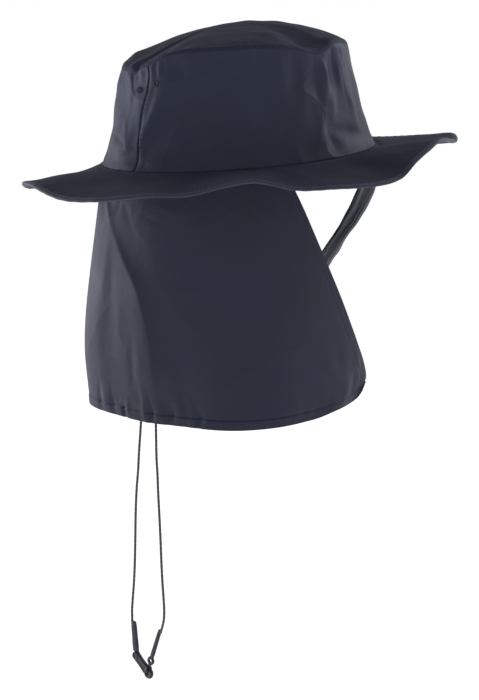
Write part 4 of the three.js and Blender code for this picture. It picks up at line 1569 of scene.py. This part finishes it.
@dataclass
class NeckCape:
    """The cape that hangs from the crown's base seam, gathered at the centre of its hem.

    Attributes:
        sizes: Shared sizes.
        drop: Height from the base line to the hem.
        join: Height over which the cape leaves the crown's oval.
        top_angle: Degrees from the centre back to each front edge at the top.
        reach: From the origin back to the hem.
        half_width: Half the width at the hem.
        forward: How far each lower front corner reaches ahead of the origin.
        corner_drop: Height from the base line to the lower front corners.
        gather_width: Stretch of hem that is drawn together.
        gather_depth: Half the depth of its pleats.
        gather_count: Number of pleats.
        gather_tall: Height of the pleats.
        hem: Height of the sewn hem.
        front_edge: Share of the way down, and share of the way forward of the front edges.
        plan: Share down, shares of the way to the hem's back and side, and squareness of each half.
        hem_lift: Share of the way round, and rise of the hem.
        folds: Place round the cape, width, start and end on the way down, and depth of each fold.
        crest_place: Share down, and place of the long fold's crest round the cape.
        crest_rise: Height of the crest.
        crest_edge: Softness of the crest.
        crest_steep: Width of its slope towards the wearer's right.
        crest_gentle: Width of its slope towards the wearer's left.
        crest_start: Shares down between which it comes up.
        crest_end: Shares down between which it dies out.
        creases: Place round and down, width, height, lean and depth in millimetres of each crease.
        wrinkles: Soft relief of the cloth.
        flat: Flat width and height of the cut cloth; not used.
        area: Area of the cut cloth in square metres; not used.
    """

    sizes: HatSizes
    drop: float = 175 * MM
    join: float = 7 * MM
    top_angle: float = 65
    reach: float = 90 * MM
    half_width: float = 88 * MM
    forward: float = 33 * MM
    corner_drop: float = 160 * MM
    gather_width: float = 112 * MM
    gather_depth: float = 1.5 * MM
    gather_count: int = 9
    gather_tall: float = 26 * MM
    hem: float = 7 * MM
    front_edge: Rows = (
        (0, 0), (0.1, 0.105), (0.34, 0.365), (0.57, 0.64), (0.7, 0.795), (0.8, 0.925), (0.88, 1.035),
        (0.95, 1.09), (1, 1),
    )
    plan: Rows = (
        (0, 0, 0, 2, 2), (0.2, 0.06, 0.35, 2.1, 2.25), (0.45, 0.35, 0.7, 2.2, 2.6),
        (0.75, 0.7, 0.95, 2.3, 3), (1, 1, 1, 2.4, 2.9),
    )
    hem_lift: Rows = ((0, 0), (0.4, 0.008), (0.7, 0.02), (0.82, 0.038), (0.93, 0.05), (0.97, 0.064))
    folds: Rows = (
        (0.36, 0.14, 0.05, 0.8, 0.036), (0.62, 0.09, 0.3, 1, -0.016), (0.86, 0.07, 0.5, 1, 0.014),
        (0.03, 0.1, 0.25, 0.9, 0.012), (-0.16, 0.09, 0.4, 1, -0.012), (-0.4, 0.12, 0.3, 1, 0.016),
        (-0.68, 0.1, 0.2, 0.9, -0.01), (-0.93, 0.06, 0.7, 1, -0.014),
    )
    crest_place: Rows = (
        (0.1, 0.28), (0.2, 0.19), (0.34, 0.075), (0.46, -0.01), (0.67, -0.06), (0.9, -0.055),
    )
    crest_rise: float = 4 * MM
    crest_edge: float = 1.2 * MM
    crest_steep: float = 12 * MM
    crest_gentle: float = 40 * MM
    crest_start: tuple[float, float] = (0.08, 0.45)
    crest_end: tuple[float, float] = (0.75, 0.96)
    creases: Rows = (
        (0.24, 0.13, 0.028, 0.07, -1.8, 1.0), (0.33, 0.12, 0.04, 0.06, -1.2, -0.7),
        (0.13, 0.13, 0.025, 0.04, 0.9, -0.5), (0.05, 0.16, 0.03, 0.05, -0.9, -0.45),
        (-0.06, 0.14, 0.03, 0.03, 1.0, 0.4), (-0.14, 0.17, 0.05, 0.02, -1.2, -0.3),
        (-0.24, 0.13, 0.05, 0.02, -1.4, 0.3), (0.22, 0.4, 0.03, 0.14, 0.9, 0.4),
        (0.17, 0.5, 0.03, 0.16, 0.5, -0.35), (0.11, 0.62, 0.03, 0.16, 0.3, 0.35),
        (0.24, 0.7, 0.03, 0.14, -0.5, 0.4), (0.04, 0.78, 0.022, 0.12, 0.3, -0.7),
        (-0.13, 0.84, 0.035, 0.09, 0.3, 0.8), (-0.95, 0.88, 0.02, 0.06, 1.0, 0.6),
        (-0.9, 0.93, 0.02, 0.05, 1.2, -0.7), (-0.8, 0.9, 0.035, 0.06, -1.0, -0.8),
        (-0.86, 0.8, 0.03, 0.08, 0.6, -0.6), (0.7, 0.5, 0.05, 0.2, 0.6, 1.0),
        (0.85, 0.75, 0.04, 0.15, -0.4, -0.9),
    )
    wrinkles: Crinkle = Crinkle(5, 26 * MM, 80 * MM, 0.35 * MM, stretch=2.2)
    flat: tuple[float, float] = (0.39, 0.185)
    area: float = 0.056

    def crest(self, around: np.ndarray, down: float, half_hem: float) -> np.ndarray:
        """Finds the long fold, which is steeper to one side of its crest.

        Args:
            around: Signed shares of the way from the centre back to a front edge.
            down: Share of the way down.
            half_hem: Length of half the hem.

        Returns:
            How far the cape stands out because of it.
        """
        run = (around - float(smooth(self.crest_place, down))) * half_hem
        width = np.where(run < 0, self.crest_steep, self.crest_gentle)
        grown = float(within(down, *self.crest_start, *self.crest_end))
        return self.crest_rise * grown * np.exp((self.crest_edge - np.hypot(run, self.crest_edge)) / width)

    def level(self, down: float, around: np.ndarray) -> tuple[np.ndarray, np.ndarray, float]:
        """Finds one level of the cape.

        Args:
            down: Share of the way down.
            around: Signed shares of the way from the centre back to a front edge.

        Returns:
            Level points, level directions away from the cape, and the mean length of its halves.
        """
        s = self.sizes
        back = float(lerp(s.base_length / 2, self.reach, smooth(self.plan, down, 1)))
        half = float(lerp(s.base_width / 2, self.half_width, smooth(self.plan, down, 2)))
        top_front = -s.base_length / 2 * math.cos(math.radians(self.top_angle))
        front = float(lerp(top_front, self.forward, smooth(self.front_edge, down)))
        halves = []
        for sign, column in ((1, 4), (-1, 3)):
            square = float(smooth(self.plan, down, column))
            share = -front / back
            last = math.acos(math.copysign(abs(share) ** (square / 2), share))
            a = np.linspace(0, 1, 1200) ** 1.5 * last
            x, y = -back * blunt(np.cos(a), 2 / square), sign * half * np.sin(a) ** (2 / square)
            line = np.stack([x, y], axis=1)
            halves.append((run_along(line), line))

        def at(share: np.ndarray) -> np.ndarray:
            """Finds points of the level.

            Args:
                share: Signed shares of the way round.

            Returns:
                The points.
            """
            way = np.abs(share)
            x, y = (
                np.where(share >= 0, *(np.interp(way * run[-1], run, line[:, k]) for run, line in halves))
                for k in (0, 1)
            )
            return np.stack([x, y], axis=-1)

        beside = at(np.maximum(-1, around - 0.01)) - at(np.minimum(1, around + 0.01))
        away = unit(np.stack([beside[:, 1], -beside[:, 0]], axis=-1))
        return at(around), away, (halves[1][0][-1] + halves[0][0][-1]) / 2

    def gathers(self, run: np.ndarray, drawn: np.ndarray) -> tuple[np.ndarray, np.ndarray]:
        """Finds the pleats at the gathered stretch of the hem.

        Args:
            run: Distances along the hem from the centre back.
            drawn: How far the hem is drawn together there.

        Returns:
            How far the cape stands out because of them, and how high up the cloth they run.
        """
        phase = 2 * np.pi * self.gather_count * run / self.gather_width
        phase += 0.7 * np.sin(phase * 0.43 + 1)
        # Each pleat is a broad soft crest between two narrow pinched valleys of uneven depth.
        valley = ((1 - np.cos(phase)) / 2) ** 2
        pleats = 0.5 - 1.25 * valley * (0.75 + 0.4 * np.sin(phase * 0.61 + 2))
        tall = self.gather_tall * (0.85 + 0.35 * np.sin(phase * 0.37 + 0.8))
        return self.gather_depth * drawn * pleats, tall

    def form(self, around: np.ndarray, down: float, half_hem: float) -> np.ndarray:
        """Finds the folds and creases at one level.

        Args:
            around: Signed shares of the way from the centre back to a front edge.
            down: Share of the way down.
            half_hem: Length of half the hem.

        Returns:
            How far the cape stands out because of them.
        """
        out = self.crest(around, down, half_hem)
        for at, wide, start, end, depth in self.folds:
            out += depth * self.drop * float(ease(down, start, end)) * bump((around - at) / wide)
        for at, high, wide, deep, lean, depth in self.creases:
            across = (around - at) / wide - lean * (down - high) / deep
            out += depth * MM * bump(across) * float(bump((down - high) / deep))
        return out

    def seams(
        self, run: np.ndarray, drawn: np.ndarray, above: float, fade: float, half_hem: float
    ) -> np.ndarray:
        """Finds the relief that the sewn edges give the cloth at one level.

        Args:
            run: Distances along the hem from the centre back.
            drawn: How far the hem is drawn together there.
            above: Height over the hem's edge.
            fade: How much of the relief shows, so near to the top seam.
            half_hem: Length of half the hem.

        Returns:
            The relief.
        """
        # The drawn hem throws short uneven tucks up into the cloth above its stitches.
        tuck = uneven_wave(run, 1 / (3.1 * MM), 2.1, 1 / (17 * MM)) * drawn
        relief = 0.55 * MM * tuck * float(bump((above - self.hem - 2 * MM) / (6 * MM)))
        # Along the rest of the hem the stitches pucker the cloth slightly.
        pucker = uneven_wave(run, 1 / (1.5 * MM), 2, 1 / (13 * MM))
        relief += 0.12 * MM * pucker * float(bump((above - self.hem) / (3.5 * MM)))
        # The front edges are turned under and sewn in the same way.
        edge = half_hem - np.abs(run)
        return relief - 0.18 * MM * bump((edge - self.hem) / (0.8 * MM)) * fade

    def face(self, around: np.ndarray, downs: np.ndarray) -> np.ndarray:
        """Finds the outer face of the cape.

        Args:
            around: Signed shares of the way from the centre back to a front edge.
            downs: Shares of the way down.

        Returns:
            A grid of points, with a row for each level.
        """
        s = self.sizes
        under = np.array(-s.brim_cloth - s.gap)
        top = s.tilted(oval(s.base_length, s.base_width, 180 - self.top_angle * around, under))
        lift = smooth((*self.hem_lift, (1, 1 - self.corner_drop / self.drop)), np.abs(around))
        half_hem = self.level(1.0, around)[2]
        run = around * half_hem
        drawn = ease(self.gather_width / 2 - np.abs(run), 0, self.gather_width / 6)
        pleats, reach_up = self.gathers(run, drawn)
        grid = []
        for down in map(float, downs):
            above = (1 - down) * self.drop
            fade = float(ease(down, 0.02, 0.3))
            flat, away, _ = self.level(down, around)
            out = self.form(around, down, half_hem)
            held = 1 - 0.6 * float(ease(-above, -self.hem, 0))
            out += pleats * (1 - ease(above / reach_up, 0.25, 1)) * held
            out += -0.45 * MM * bump((above - self.hem) / (0.7 * MM))
            out += 0.3 * MM * (1 - ease(above, self.hem - 1.2 * MM, self.hem))
            join = min(1.0, down * self.drop / self.join)
            z = lerp(top[:, 2], -self.drop * (1 - lift), down)
            shape = np.concatenate([lerp(top[:, :2], flat, join), z[:, None]], axis=1)
            shape[:, :2] += away * out[:, None]
            relief = self.wrinkles.at(shape) * fade + self.seams(run, drawn, above, fade, half_hem)
            shape[:, :2] += away * relief[:, None]
            grid.append(shape)
        return np.stack(grid)

    def half_hem(self) -> float:
        """Length of half the hem."""
        return self.level(1.0, np.array([0.0]))[2]

    def columns(self) -> np.ndarray:
        """Spaces the cape's columns, close together at the gathers and the front edges.

        Returns:
            Their shares of the way round, from the left edge to the right.
        """
        gathered, edge = self.gather_width / 2 / self.half_hem(), 9 * MM / self.half_hem()
        side = graded(gathered, (1 - edge, 66), (1, 16))[1:]
        middle = np.linspace(-gathered, gathered, 150)
        return np.concatenate([-side[::-1], middle, side])[::-1]

    def build(self, finishes: Finishes) -> bpy.types.Object:
        """Args:
            finishes: Materials.

        Returns:
            The piece.
        """
        rows = graded(0, (0.06, 6), (1 - 11 * MM / self.drop, 92), (1, 26))
        points = self.face(self.columns(), rows)
        wall = ClothWall(points, grid_normals(points, False), self.sizes.cloth)
        piece = dress(wall.mesh("neck_cape_cloth"), finishes.drape, Slot.SHELL, "neck_cape")
        return piece

    def sew(self, stitcher: Stitcher) -> bpy.types.Object:
        """Sews the hem and the two front edges.

        Args:
            stitcher: What sews them.

        Returns:
            The piece.
        """
        last = 1 - self.hem / self.half_hem()
        hem_row = 1 - self.hem / self.drop
        hem = self.face(np.linspace(last, -last, 700), np.array([hem_row]))[0]
        edges = self.face(np.array([last, -last]), np.linspace(0.02, hem_row, 160))
        return stitcher.rows("cape_stitches", [(hem, False), (edges[:, 0], False), (edges[:, 1], False)])


# Chin strap


@dataclass
class ChinStrap:
    """The flat chin strap, one loop of cloth folded lengthwise.

    Attributes:
        sizes: Shared sizes.
        width: Width of the band.
        thick: Thickness of the band.
        angle: Degrees from the front to each end, round the crown's base.
        inset: How far the ends lie inside the crown's base.
        drop: Height from the ends to the lowest point.
        half: Share of the half span, share of the drop, share of the width, and twist.
        section: Across and over, as shares of the width and the thickness.
        wrinkles: Fine relief of the cloth.
    """

    sizes: HatSizes
    width: float = 20 * MM
    thick: float = 2.2 * MM
    angle: float = 51.2
    inset: float = 0.1 * MM
    drop: float = 97 * MM
    half: Rows = (
        (1, 0, 1, -34), (0.955, 0.14, 1, -18), (0.905, 0.28, 1, 0), (0.826, 0.39, 0.9, 8),
        (0.717, 0.505, 0.78, 12), (0.589, 0.615, 0.66, 16), (0.465, 0.72, 0.8, 10),
        (0.366, 0.81, 0.92, 4), (0.266, 0.905, 1, 0), (0.142, 0.975, 1, 0),
    )
    section: Rows = (
        (-0.5, 0), (-0.46, -0.4), (-0.34, -0.62), (-0.2, -0.55), (-0.12, 0.02), (-0.02, -0.02),
        (0.08, -0.5), (0.26, -0.6), (0.4, -0.46), (0.48, -0.25), (0.5, 0.05), (0.44, 0.42), (0.3, 0.62),
        (0.18, 0.5), (0.1, 0.2), (-0.06, 0.18), (-0.16, 0.52), (-0.28, 0.6), (-0.42, 0.4),
    )
    wrinkles: Crinkle = Crinkle(31, 7 * MM, 26 * MM, 0.5 * MM, stretch=2.5)

    def build(self, finishes: Finishes) -> bpy.types.Object:
        """Builds the strap.

        Args:
            finishes: Materials.

        Returns:
            The piece.
        """
        s = self.sizes
        length, width = s.base_length - 2 * self.inset, s.base_width - 2 * self.inset
        end = s.tilted(oval(length, width, np.array(self.angle), np.array(-s.brim_cloth - s.gap)))
        sides = [
            [(-side * end[1] * o, end[2] - self.drop * d, w, side * t) for o, d, w, t in self.half]
            for side in (1, -1)
        ]
        rows = [*sides[0], (0.0, end[2] - self.drop, 1.0, 0.0), *reversed(sides[1])]
        table = [(k / (len(rows) - 1), *row) for k, row in enumerate(rows)]
        at = np.linspace(0, 1, 220)
        from_end = np.minimum(at, 1 - at)
        y, z, wide, twist = (smooth(table, at, column) for column in (1, 2, 3, 4))
        path = np.stack([np.full(at.shape, end[0]), y, z], axis=1)
        lean = np.radians(s.head_tilt) * (1 - np.minimum(1, from_end / 0.06))
        forward = np.stack([np.cos(lean), np.zeros(at.shape), np.sin(lean)], axis=1)
        along, forward, _ = path_frames(path, forward)
        side_way = np.cross(forward, along)
        t = np.radians(twist)[:, None]
        turned = forward * np.cos(t) + np.cross(along, forward) * np.sin(t)
        over = side_way * np.cos(t) + np.cross(along, side_way) * np.sin(t)
        section = np.array(self.section)
        out = section[:, 0] * self.width * wide[:, None]
        sections = tube(path, turned, over, out, np.broadcast_to(section[:, 1] * self.thick, out.shape))
        middle = sections.mean(axis=1, keepdims=True)
        relief = self.wrinkles.at(sections) * np.minimum(1, from_end / 0.05)[:, None]
        sections = sections + unit(sections - middle) * relief[..., None]
        return dress(loft("chin_strap_band", sections, False), finishes.strap, Slot.STRAP, "chin_strap")


# Leash and clip


@dataclass
class Leash:
    """The two strands of the leash, from the hem to their doubled ends.

    Attributes:
        reach: From the origin back to the hem.
        drop: From the base line down to the hem.
        cord: Width of the cord.
        left: The left strand's points, in millimetres: ahead of the hem's back, left, and below the hem.
        right: The right strand's points, in the same way.
        knuckle: Middle of the hook's knuckle, in the same way.
        bow: Middle of the hook's bow.
        eye: Middle of the eye.
        tuck: How far each strand runs on inside its doubled end.
        lay: Length in which the braid goes once round.
        winding: Distance from one turn of the binding thread to the next.
        sleeve: Width of the left strand's doubled end, and how far to the left of the strand it starts.
        tail: The same for the right strand.
    """

    reach: float = 90 * MM
    drop: float = 175 * MM
    cord: float = 1.8 * MM
    left: Rows = (
        (0.6, 7.1, 0.4), (0.4, 7.9, 11), (0.2, 8.9, 23), (0.2, 9.8, 35), (0, 11, 47), (0, 11.9, 59),
        (0, 12.4, 71), (0, 12.7, 83), (0, 13.1, 95), (0, 13.7, 107), (0, 14.6, 118), (0, 15.6, 127),
        (0, 16.3, 135), (0, 16.2, 143.4),
    )
    right: Rows = (
        (0.6, -7, 0.4), (0.4, -7.4, 11), (0.2, -7.9, 23), (0.2, -8.8, 35), (0, -9.6, 47), (0, -10.4, 59),
        (0, -11.2, 71), (0, -11.9, 83), (0, -12.5, 95), (0, -13.3, 107), (0, -14.3, 118), (0, -15, 127),
        (0, -14.6, 135), (0, -12.1, 143.4),
    )
    knuckle: tuple[float, float, float] = (0, 12.2, 166.9)
    bow: tuple[float, float, float] = (0, 0.2, 176.6)
    eye: tuple[float, float, float] = (0, -2, 167.1)
    tuck: float = 1.6 * MM
    lay: float = 3.2 * MM
    winding: float = 0.5 * MM
    sleeve: tuple[float, float] = (4.9 * MM, -1.4 * MM)
    tail: tuple[float, float] = (2.9 * MM, 0.5 * MM)

    def place(self, point: Sequence[float]) -> np.ndarray:
        """Place of a point that is given in millimetres from the middle of the hem."""
        ahead, left, below = (v * MM for v in point)
        return np.array([ahead - self.reach, left, -self.drop - below])

    def build_cord(self, side: Side, finishes: Finishes) -> tuple[bpy.types.Object, np.ndarray]:
        """Builds one strand as a braided tube.

        Args:
            side: Side of the strand.
            finishes: Materials.

        Returns:
            The piece, and the points that it follows.
        """
        route = self.left if side is Side.LEFT else self.right
        path = spline([self.place(p) for p in route], 0.6 * MM)
        path = np.concatenate([path, path[-1:] + unit(path[-1:] - path[-2:-1]) * self.tuck])
        _, beside, across = path_frames(path, (1, 0, 0))
        a = once_round(16)
        turn = run_along(path)[:, None] / self.lay * math.tau
        braid = np.maximum(np.cos(4 * a - turn), np.cos(4 * a + turn))
        radius = self.cord / 2 * (0.95 + 0.05 * braid)
        sections = tube(path, beside, across, radius * np.cos(a), radius * np.sin(a))
        name = side.name.lower()
        piece = dress(loft(f"leash_cord_{name}", sections, False), finishes.cord, Slot.CORD, f"cord_{name}")
        return piece, path

    def build_doubled(
        self, node: str, start: np.ndarray, stop: np.ndarray, width: float, finishes: Finishes
    ) -> bpy.types.Object:
        """Builds a doubled end: the cord and its turned-back tail, bound side by side with thread.

        Args:
            node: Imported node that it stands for.
            start: Upper end.
            stop: Lower end.
            width: Width across both strands.
            finishes: Materials.

        Returns:
            The piece.
        """
        along = np.linspace(0, 1, 90)[:, None]
        path = start + (stop - start) * along
        _, beside, across = path_frames(path, (1, 0, 0))
        a = once_round(28)
        ends = np.maximum(np.minimum(1, np.minimum(along, 1 - along) / 0.03) ** 0.5, 0.6)
        # Thread wound round both strands stands out as fine rings between the ends.
        wound = within(along, 0.1, 0.16, 0.84, 0.9)
        turns = along * np.linalg.norm(stop - start) / self.winding
        size = ends * (1 + (0.05 + 0.05 * np.sin(turns * math.tau)) * wound)
        waist = 1 - 0.16 * np.abs(np.sin(a)) ** 4 * (1 - wound)
        out = width / 2 * blunt(np.cos(a), 0.8) * size * (0.94 + 0.2 * along)
        high = self.cord * 0.62 * np.sin(a) * waist * size
        sections = tube(path, across, beside, out, high)
        return dress(loft("leash_" + node, sections, False), finishes.bound, Slot.CORD, node)

    def build(self, finishes: Finishes, clip: Clip) -> None:
        """Args:
            finishes: Materials.
            clip: The clip.
        """
        hook, eye = clip.build(self, finishes)
        left = (Side.LEFT, self.knuckle, "cord_sleeve_left", clip.knuckle_width / 2, self.sleeve, hook)
        right = (Side.RIGHT, self.eye, "cord_end_right", clip.eye_width / 2, self.tail, eye)
        for side, last, node, radius, (width, shift), fitting in (left, right):
            cord, path = self.build_cord(side, finishes)
            start = path[-1] + np.array([0, shift, self.tuck + 0.6 * MM])
            place = self.place(last)
            stop = place + unit(start - place) * (radius * 0.9)
            doubled = self.build_doubled(node, start, stop, width, finishes)
            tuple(path[0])
            float(run_along(path)[-1])


@dataclass
class Clip:
    """The small moulded clip: a hook on the left strand, and the eye that it holds.

    Attributes:
        knuckle_width: Width of the hook's knuckle.
        thick: Thickness of the hook.
        bar_width: Width of its bar.
        bow_width: Width of its bow, across the middle of the wire.
        bow_wire: Thickness of the bow.
        eye_width: Width of the eye, across the middle of its wire.
        eye_wire: Thickness of the eye.
        link_width: Width of the eye's lower link.
        link_wire: Thickness of the link.
        neck: Thickness of the neck between the eye and its link.
    """

    knuckle_width: float = 5.6 * MM
    thick: float = 3.6 * MM
    bar_width: float = 6.8 * MM
    bow_width: float = 5.2 * MM
    bow_wire: float = 3.0 * MM
    eye_width: float = 4.2 * MM
    eye_wire: float = 2.1 * MM
    link_width: float = 4.2 * MM
    link_wire: float = 1.7 * MM
    neck: float = 2.4 * MM

    def ring(self, width: float, wire: float, place: np.ndarray, away: Sequence[float]) -> bpy.types.Mesh:
        """Makes a ring of wire.

        Args:
            width: Width across the middle of the wire.
            wire: Thickness of the wire.
            place: Middle of the ring.
            away: Direction that its hole looks along.

        Returns:
            The mesh.
        """
        a, b = once_round(48)[:, None], once_round(18)
        radius = width / 2 + wire / 2 * np.cos(b)
        x, y, z = np.broadcast_arrays(radius * np.cos(a), radius * np.sin(a), wire / 2 * np.sin(b))
        return loft("ring", np.stack([x, y, z], axis=-1) @ np.array(facing(away)).T + place, True)

    def bar(
        self, start: np.ndarray, stop: np.ndarray, width: float, thick: float, waist: float
    ) -> bpy.types.Mesh:
        """Makes a rounded bar between two places, drawn in to a waist at its middle.

        Args:
            start: One end.
            stop: The other end.
            width: Width of the bar.
            thick: Thickness of the bar.
            waist: Share of the width that it is drawn in by.

        Returns:
            The mesh.
        """
        along = np.linspace(0, 1, 26)[:, None]
        path = start + (stop - start) * along
        _, beside, across = path_frames(path, (1, 0, 0))
        a = once_round(32)
        flat = blunt(np.cos(a), 0.45) * (1 - waist * np.sin(along * np.pi))
        # A shallow channel runs along both faces between the bar's rims.
        high = blunt(np.sin(a), 0.45) * (1 - 0.3 * bump(np.cos(a) / 0.45))
        over = np.broadcast_to(high, flat.shape) * thick / 2
        return loft("bar", tube(path, across, beside, flat * width / 2, over), False)

    def barrel(self, place: np.ndarray) -> bpy.types.Mesh:
        """Makes the round knuckle, with soft edges and a shallow dimple in each face.

        Args:
            place: Middle of the knuckle.

        Returns:
            The mesh.
        """
        half, radius = self.thick / 2, self.knuckle_width / 2
        inner = 0.02 * MM / radius
        # Shares of the half thickness and of the radius, from one face's dimple to its side.
        side = ((0.8, inner), (0.8, 0.42), (0.98, 0.55), (1, 0.82), (0.86, 0.97), (0.6, 1))
        profile = [(-x * half, r * radius) for x, r in side]
        profile += [(x * half, r * radius) for x, r in reversed(side)]
        a = once_round(40)
        rings = [np.stack([np.full(a.shape, x), r * np.cos(a), r * np.sin(a)], axis=1) for x, r in profile]
        return loft("barrel", place + np.stack(rings), False)

    def build(self, leash: Leash, finishes: Finishes) -> tuple[bpy.types.Object, bpy.types.Object]:
        """Builds the hook and the eye.

        Args:
            leash: Leash that gives their places.
            finishes: Materials.

        Returns:
            The hook and the eye.
        """
        knuckle, bow, eye = (leash.place(p) for p in (leash.knuckle, leash.bow, leash.eye))
        to_bow = unit(bow - knuckle)
        bar_end = bow - to_bow * self.bow_width / 2
        bar = self.bar(knuckle, bar_end, self.bar_width, self.thick * 0.9, 0.12)
        bow_ring = self.ring(self.bow_width, self.bow_wire, bow, (1, 0, 0))
        hook = joined("leash_clip_hook", [self.barrel(knuckle), bar, bow_ring])
        link = bow + np.array([0, 0, self.bow_width / 2])
        to_link = unit(link - eye)
        neck_ends = eye + to_link * self.eye_width / 2, link - to_link * self.link_width / 2
        neck = self.bar(*neck_ends, self.neck, self.link_wire, 0.1)
        eye_ring = self.ring(self.eye_width, self.eye_wire, eye, (1, 0, 0))
        link_ring = self.ring(self.link_width, self.link_wire, link, (0, 1, 0))
        loop = joined("leash_clip_eye", [eye_ring, neck, link_ring])
        return (
            dress(hook, finishes.plastic, Slot.PLASTIC, "clip_hook"),
            dress(loop, finishes.plastic, Slot.PLASTIC, "clip_eye"),
        )


# Camera, floor and light


@dataclass(frozen=True)
class Lamp:
    """A soft lamp that faces the hat.

    Attributes:
        name: Name of the lamp.
        turn: Degrees round the hat from the camera, towards the camera's right.
        rise: Degrees above the hat.
        width: Width of its face.
        height: Height of its face.
        power: Power in watts.
        tint: Colour as sRGB hex.
        away: Distance from the hat.
        aim: Height at which it is aimed.
    """

    name: str
    turn: float
    rise: float
    width: float
    height: float
    power: float
    tint: str = "e8eeff"
    away: float = 1.6
    aim: float = -0.05

    def hang(self, azimuth: float) -> None:
        """Hangs the lamp.

        Args:
            azimuth: Azimuth of the camera.
        """
        turn, rise = math.radians(azimuth + self.turn), math.radians(self.rise)
        way = Vector((math.sin(turn) * math.cos(rise), -math.cos(turn) * math.cos(rise), math.sin(rise)))
        data = bpy.data.lights.new(self.name, "AREA")
        data.shape = "RECTANGLE"
        data.size, data.size_y = self.width, self.height
        data.energy = self.power
        data.color = to_linear(self.tint)[:3]
        spot = Matrix.Translation(Vector((0, 0, self.aim)) + way * self.away)
        placed(self.name, data).matrix_world = spot @ (-way).to_track_quat("-Z", "Y").to_matrix().to_4x4()


@dataclass
class Studio:
    """A plain pale floor, soft light and the camera.

    Attributes:
        azimuth: Degrees round the hat.
        distance: Level distance from the camera to the hat's axis.
        height: Height of the camera.
        pitch: Degrees by which it looks down.
        roll: Degrees by which it is rolled.
        focal: Focal length in pixels.
        image: Width and height of the image in pixels.
        floor: Height of the floor.
        lamps: The lamps.
        sky: Strength of the surround overhead, where it is 1 at the horizon.
        fade: Heights of the sky between which the surround dims.
    """

    azimuth: float = -47.5
    distance: float = 1.1
    height: float = 0.058
    pitch: float = 10.1
    roll: float = 0.35
    focal: float = 1588
    image: tuple[int, int] = (479, 700)
    floor: float = -0.42
    lamps: tuple[Lamp, ...] = (
        Lamp("lamp_left", -115, 0, 0.45, 1.2, 15),
        Lamp("lamp_right", 124, 24, 0.5, 0.8, 7.6),
    )
    sky: float = 0.5
    fade: tuple[float, float] = (0.045, 0.14)

    def build_camera(self) -> None:
        """Places the camera as the photograph was taken."""
        a, t, g = (math.radians(v) for v in (self.azimuth, self.pitch, self.roll))
        back = Vector((math.sin(a), -math.cos(a), 0))
        right = Vector((math.cos(a), math.sin(a), 0))
        ahead = -back * math.cos(t) - Vector((0, 0, math.sin(t)))
        up = right.cross(ahead)
        turned_right = right * math.cos(g) + up * math.sin(g)
        turned_up = up * math.cos(g) - right * math.sin(g)
        data = bpy.data.cameras.new("view")
        data.sensor_fit = "VERTICAL"
        data.sensor_height = 36
        data.lens = self.focal * data.sensor_height / self.image[1]
        data.clip_start = 0.05
        camera = placed("view", data)
        turn = Matrix((turned_right, turned_up, -ahead)).transposed()
        place = back * self.distance + Vector((0, 0, self.height))
        camera.matrix_world = Matrix.Translation(place) @ turn.to_4x4()
        bpy.context.scene.camera = camera

    def build_floor(self) -> None:
        """Lays the floor, a white acrylic board that is lit from below."""
        mesh = bpy.data.meshes.new("floor")
        half, z = 40.0, self.floor
        corners = [(-half, -half, z), (half, -half, z), (half, half, z), (-half, half, z)]
        mesh.from_pydata(corners, [], [(0, 1, 2, 3)])
        material = bpy.data.materials.new("white acrylic, lit from below")
        tree = NodeTree.of(material)
        shader = tree.add(
            "ShaderNodeBsdfPrincipled",
            {
                "Base Color": to_linear("e8e8e8"),
                "Roughness": 0.9,
                "IOR": 1.49,
                "Emission Color": (1, 1, 1, 1),
                "Emission Strength": 0.6,
            },
        )
        tree.add("ShaderNodeOutputMaterial", {"Surface": shader})
        mesh.materials.append(material)
        placed("floor", mesh)

    def build_light(self) -> None:
        """Lights the hat from a surround that is white at the horizon and dimmer overhead, and lamps."""
        world = bpy.data.worlds.new("white surround")
        tree = NodeTree.of(world)
        parts = tree.add("ShaderNodeSeparateXYZ", {0: tree.add("ShaderNodeTexCoord", out="Object")}, "Z")
        limits = {"From Min": self.fade[0], "From Max": self.fade[1], "To Min": 1.0, "To Max": self.sky}
        fade = tree.add("ShaderNodeMapRange", {"Value": parts, **limits}, interpolation_type="SMOOTHSTEP")
        glow = tree.add("ShaderNodeBackground", {"Color": (1, 1, 1, 1), "Strength": fade})
        tree.add("ShaderNodeOutputWorld", {"Surface": glow})
        bpy.context.scene.world = world
        # The photograph's white is full white, which the Standard view shows as it is.
        bpy.context.scene.view_settings.view_transform = "Standard"
        for lamp in self.lamps:
            lamp.hang(self.azimuth)


def main() -> None:
    """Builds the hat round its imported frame."""
    logging.basicConfig(level=logging.INFO, format="%(name)s: %(message)s")
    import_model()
    studio = Studio()
    studio.build_camera()
    studio.build_floor()
    studio.build_light()
    finishes = Finishes()
    sizes = HatSizes()
    Leash().build(finishes, Clip())
    stitcher = Stitcher(finishes.thread)
    crown = Crown(sizes)
    crown.build_wall(finishes)
    crown.build_tip(finishes)
    crown.build_eyelets(finishes)
    crown.sew(stitcher)
    brim = Brim(sizes)
    brim.build_cloth(finishes)
    brim.build_binding(finishes)
    brim.sew(stitcher)
    cape = NeckCape(sizes)
    cape.sew(stitcher)
    cape.build(finishes)
    ChinStrap(sizes).build(finishes)


if __name__ == "__main__":
    main()
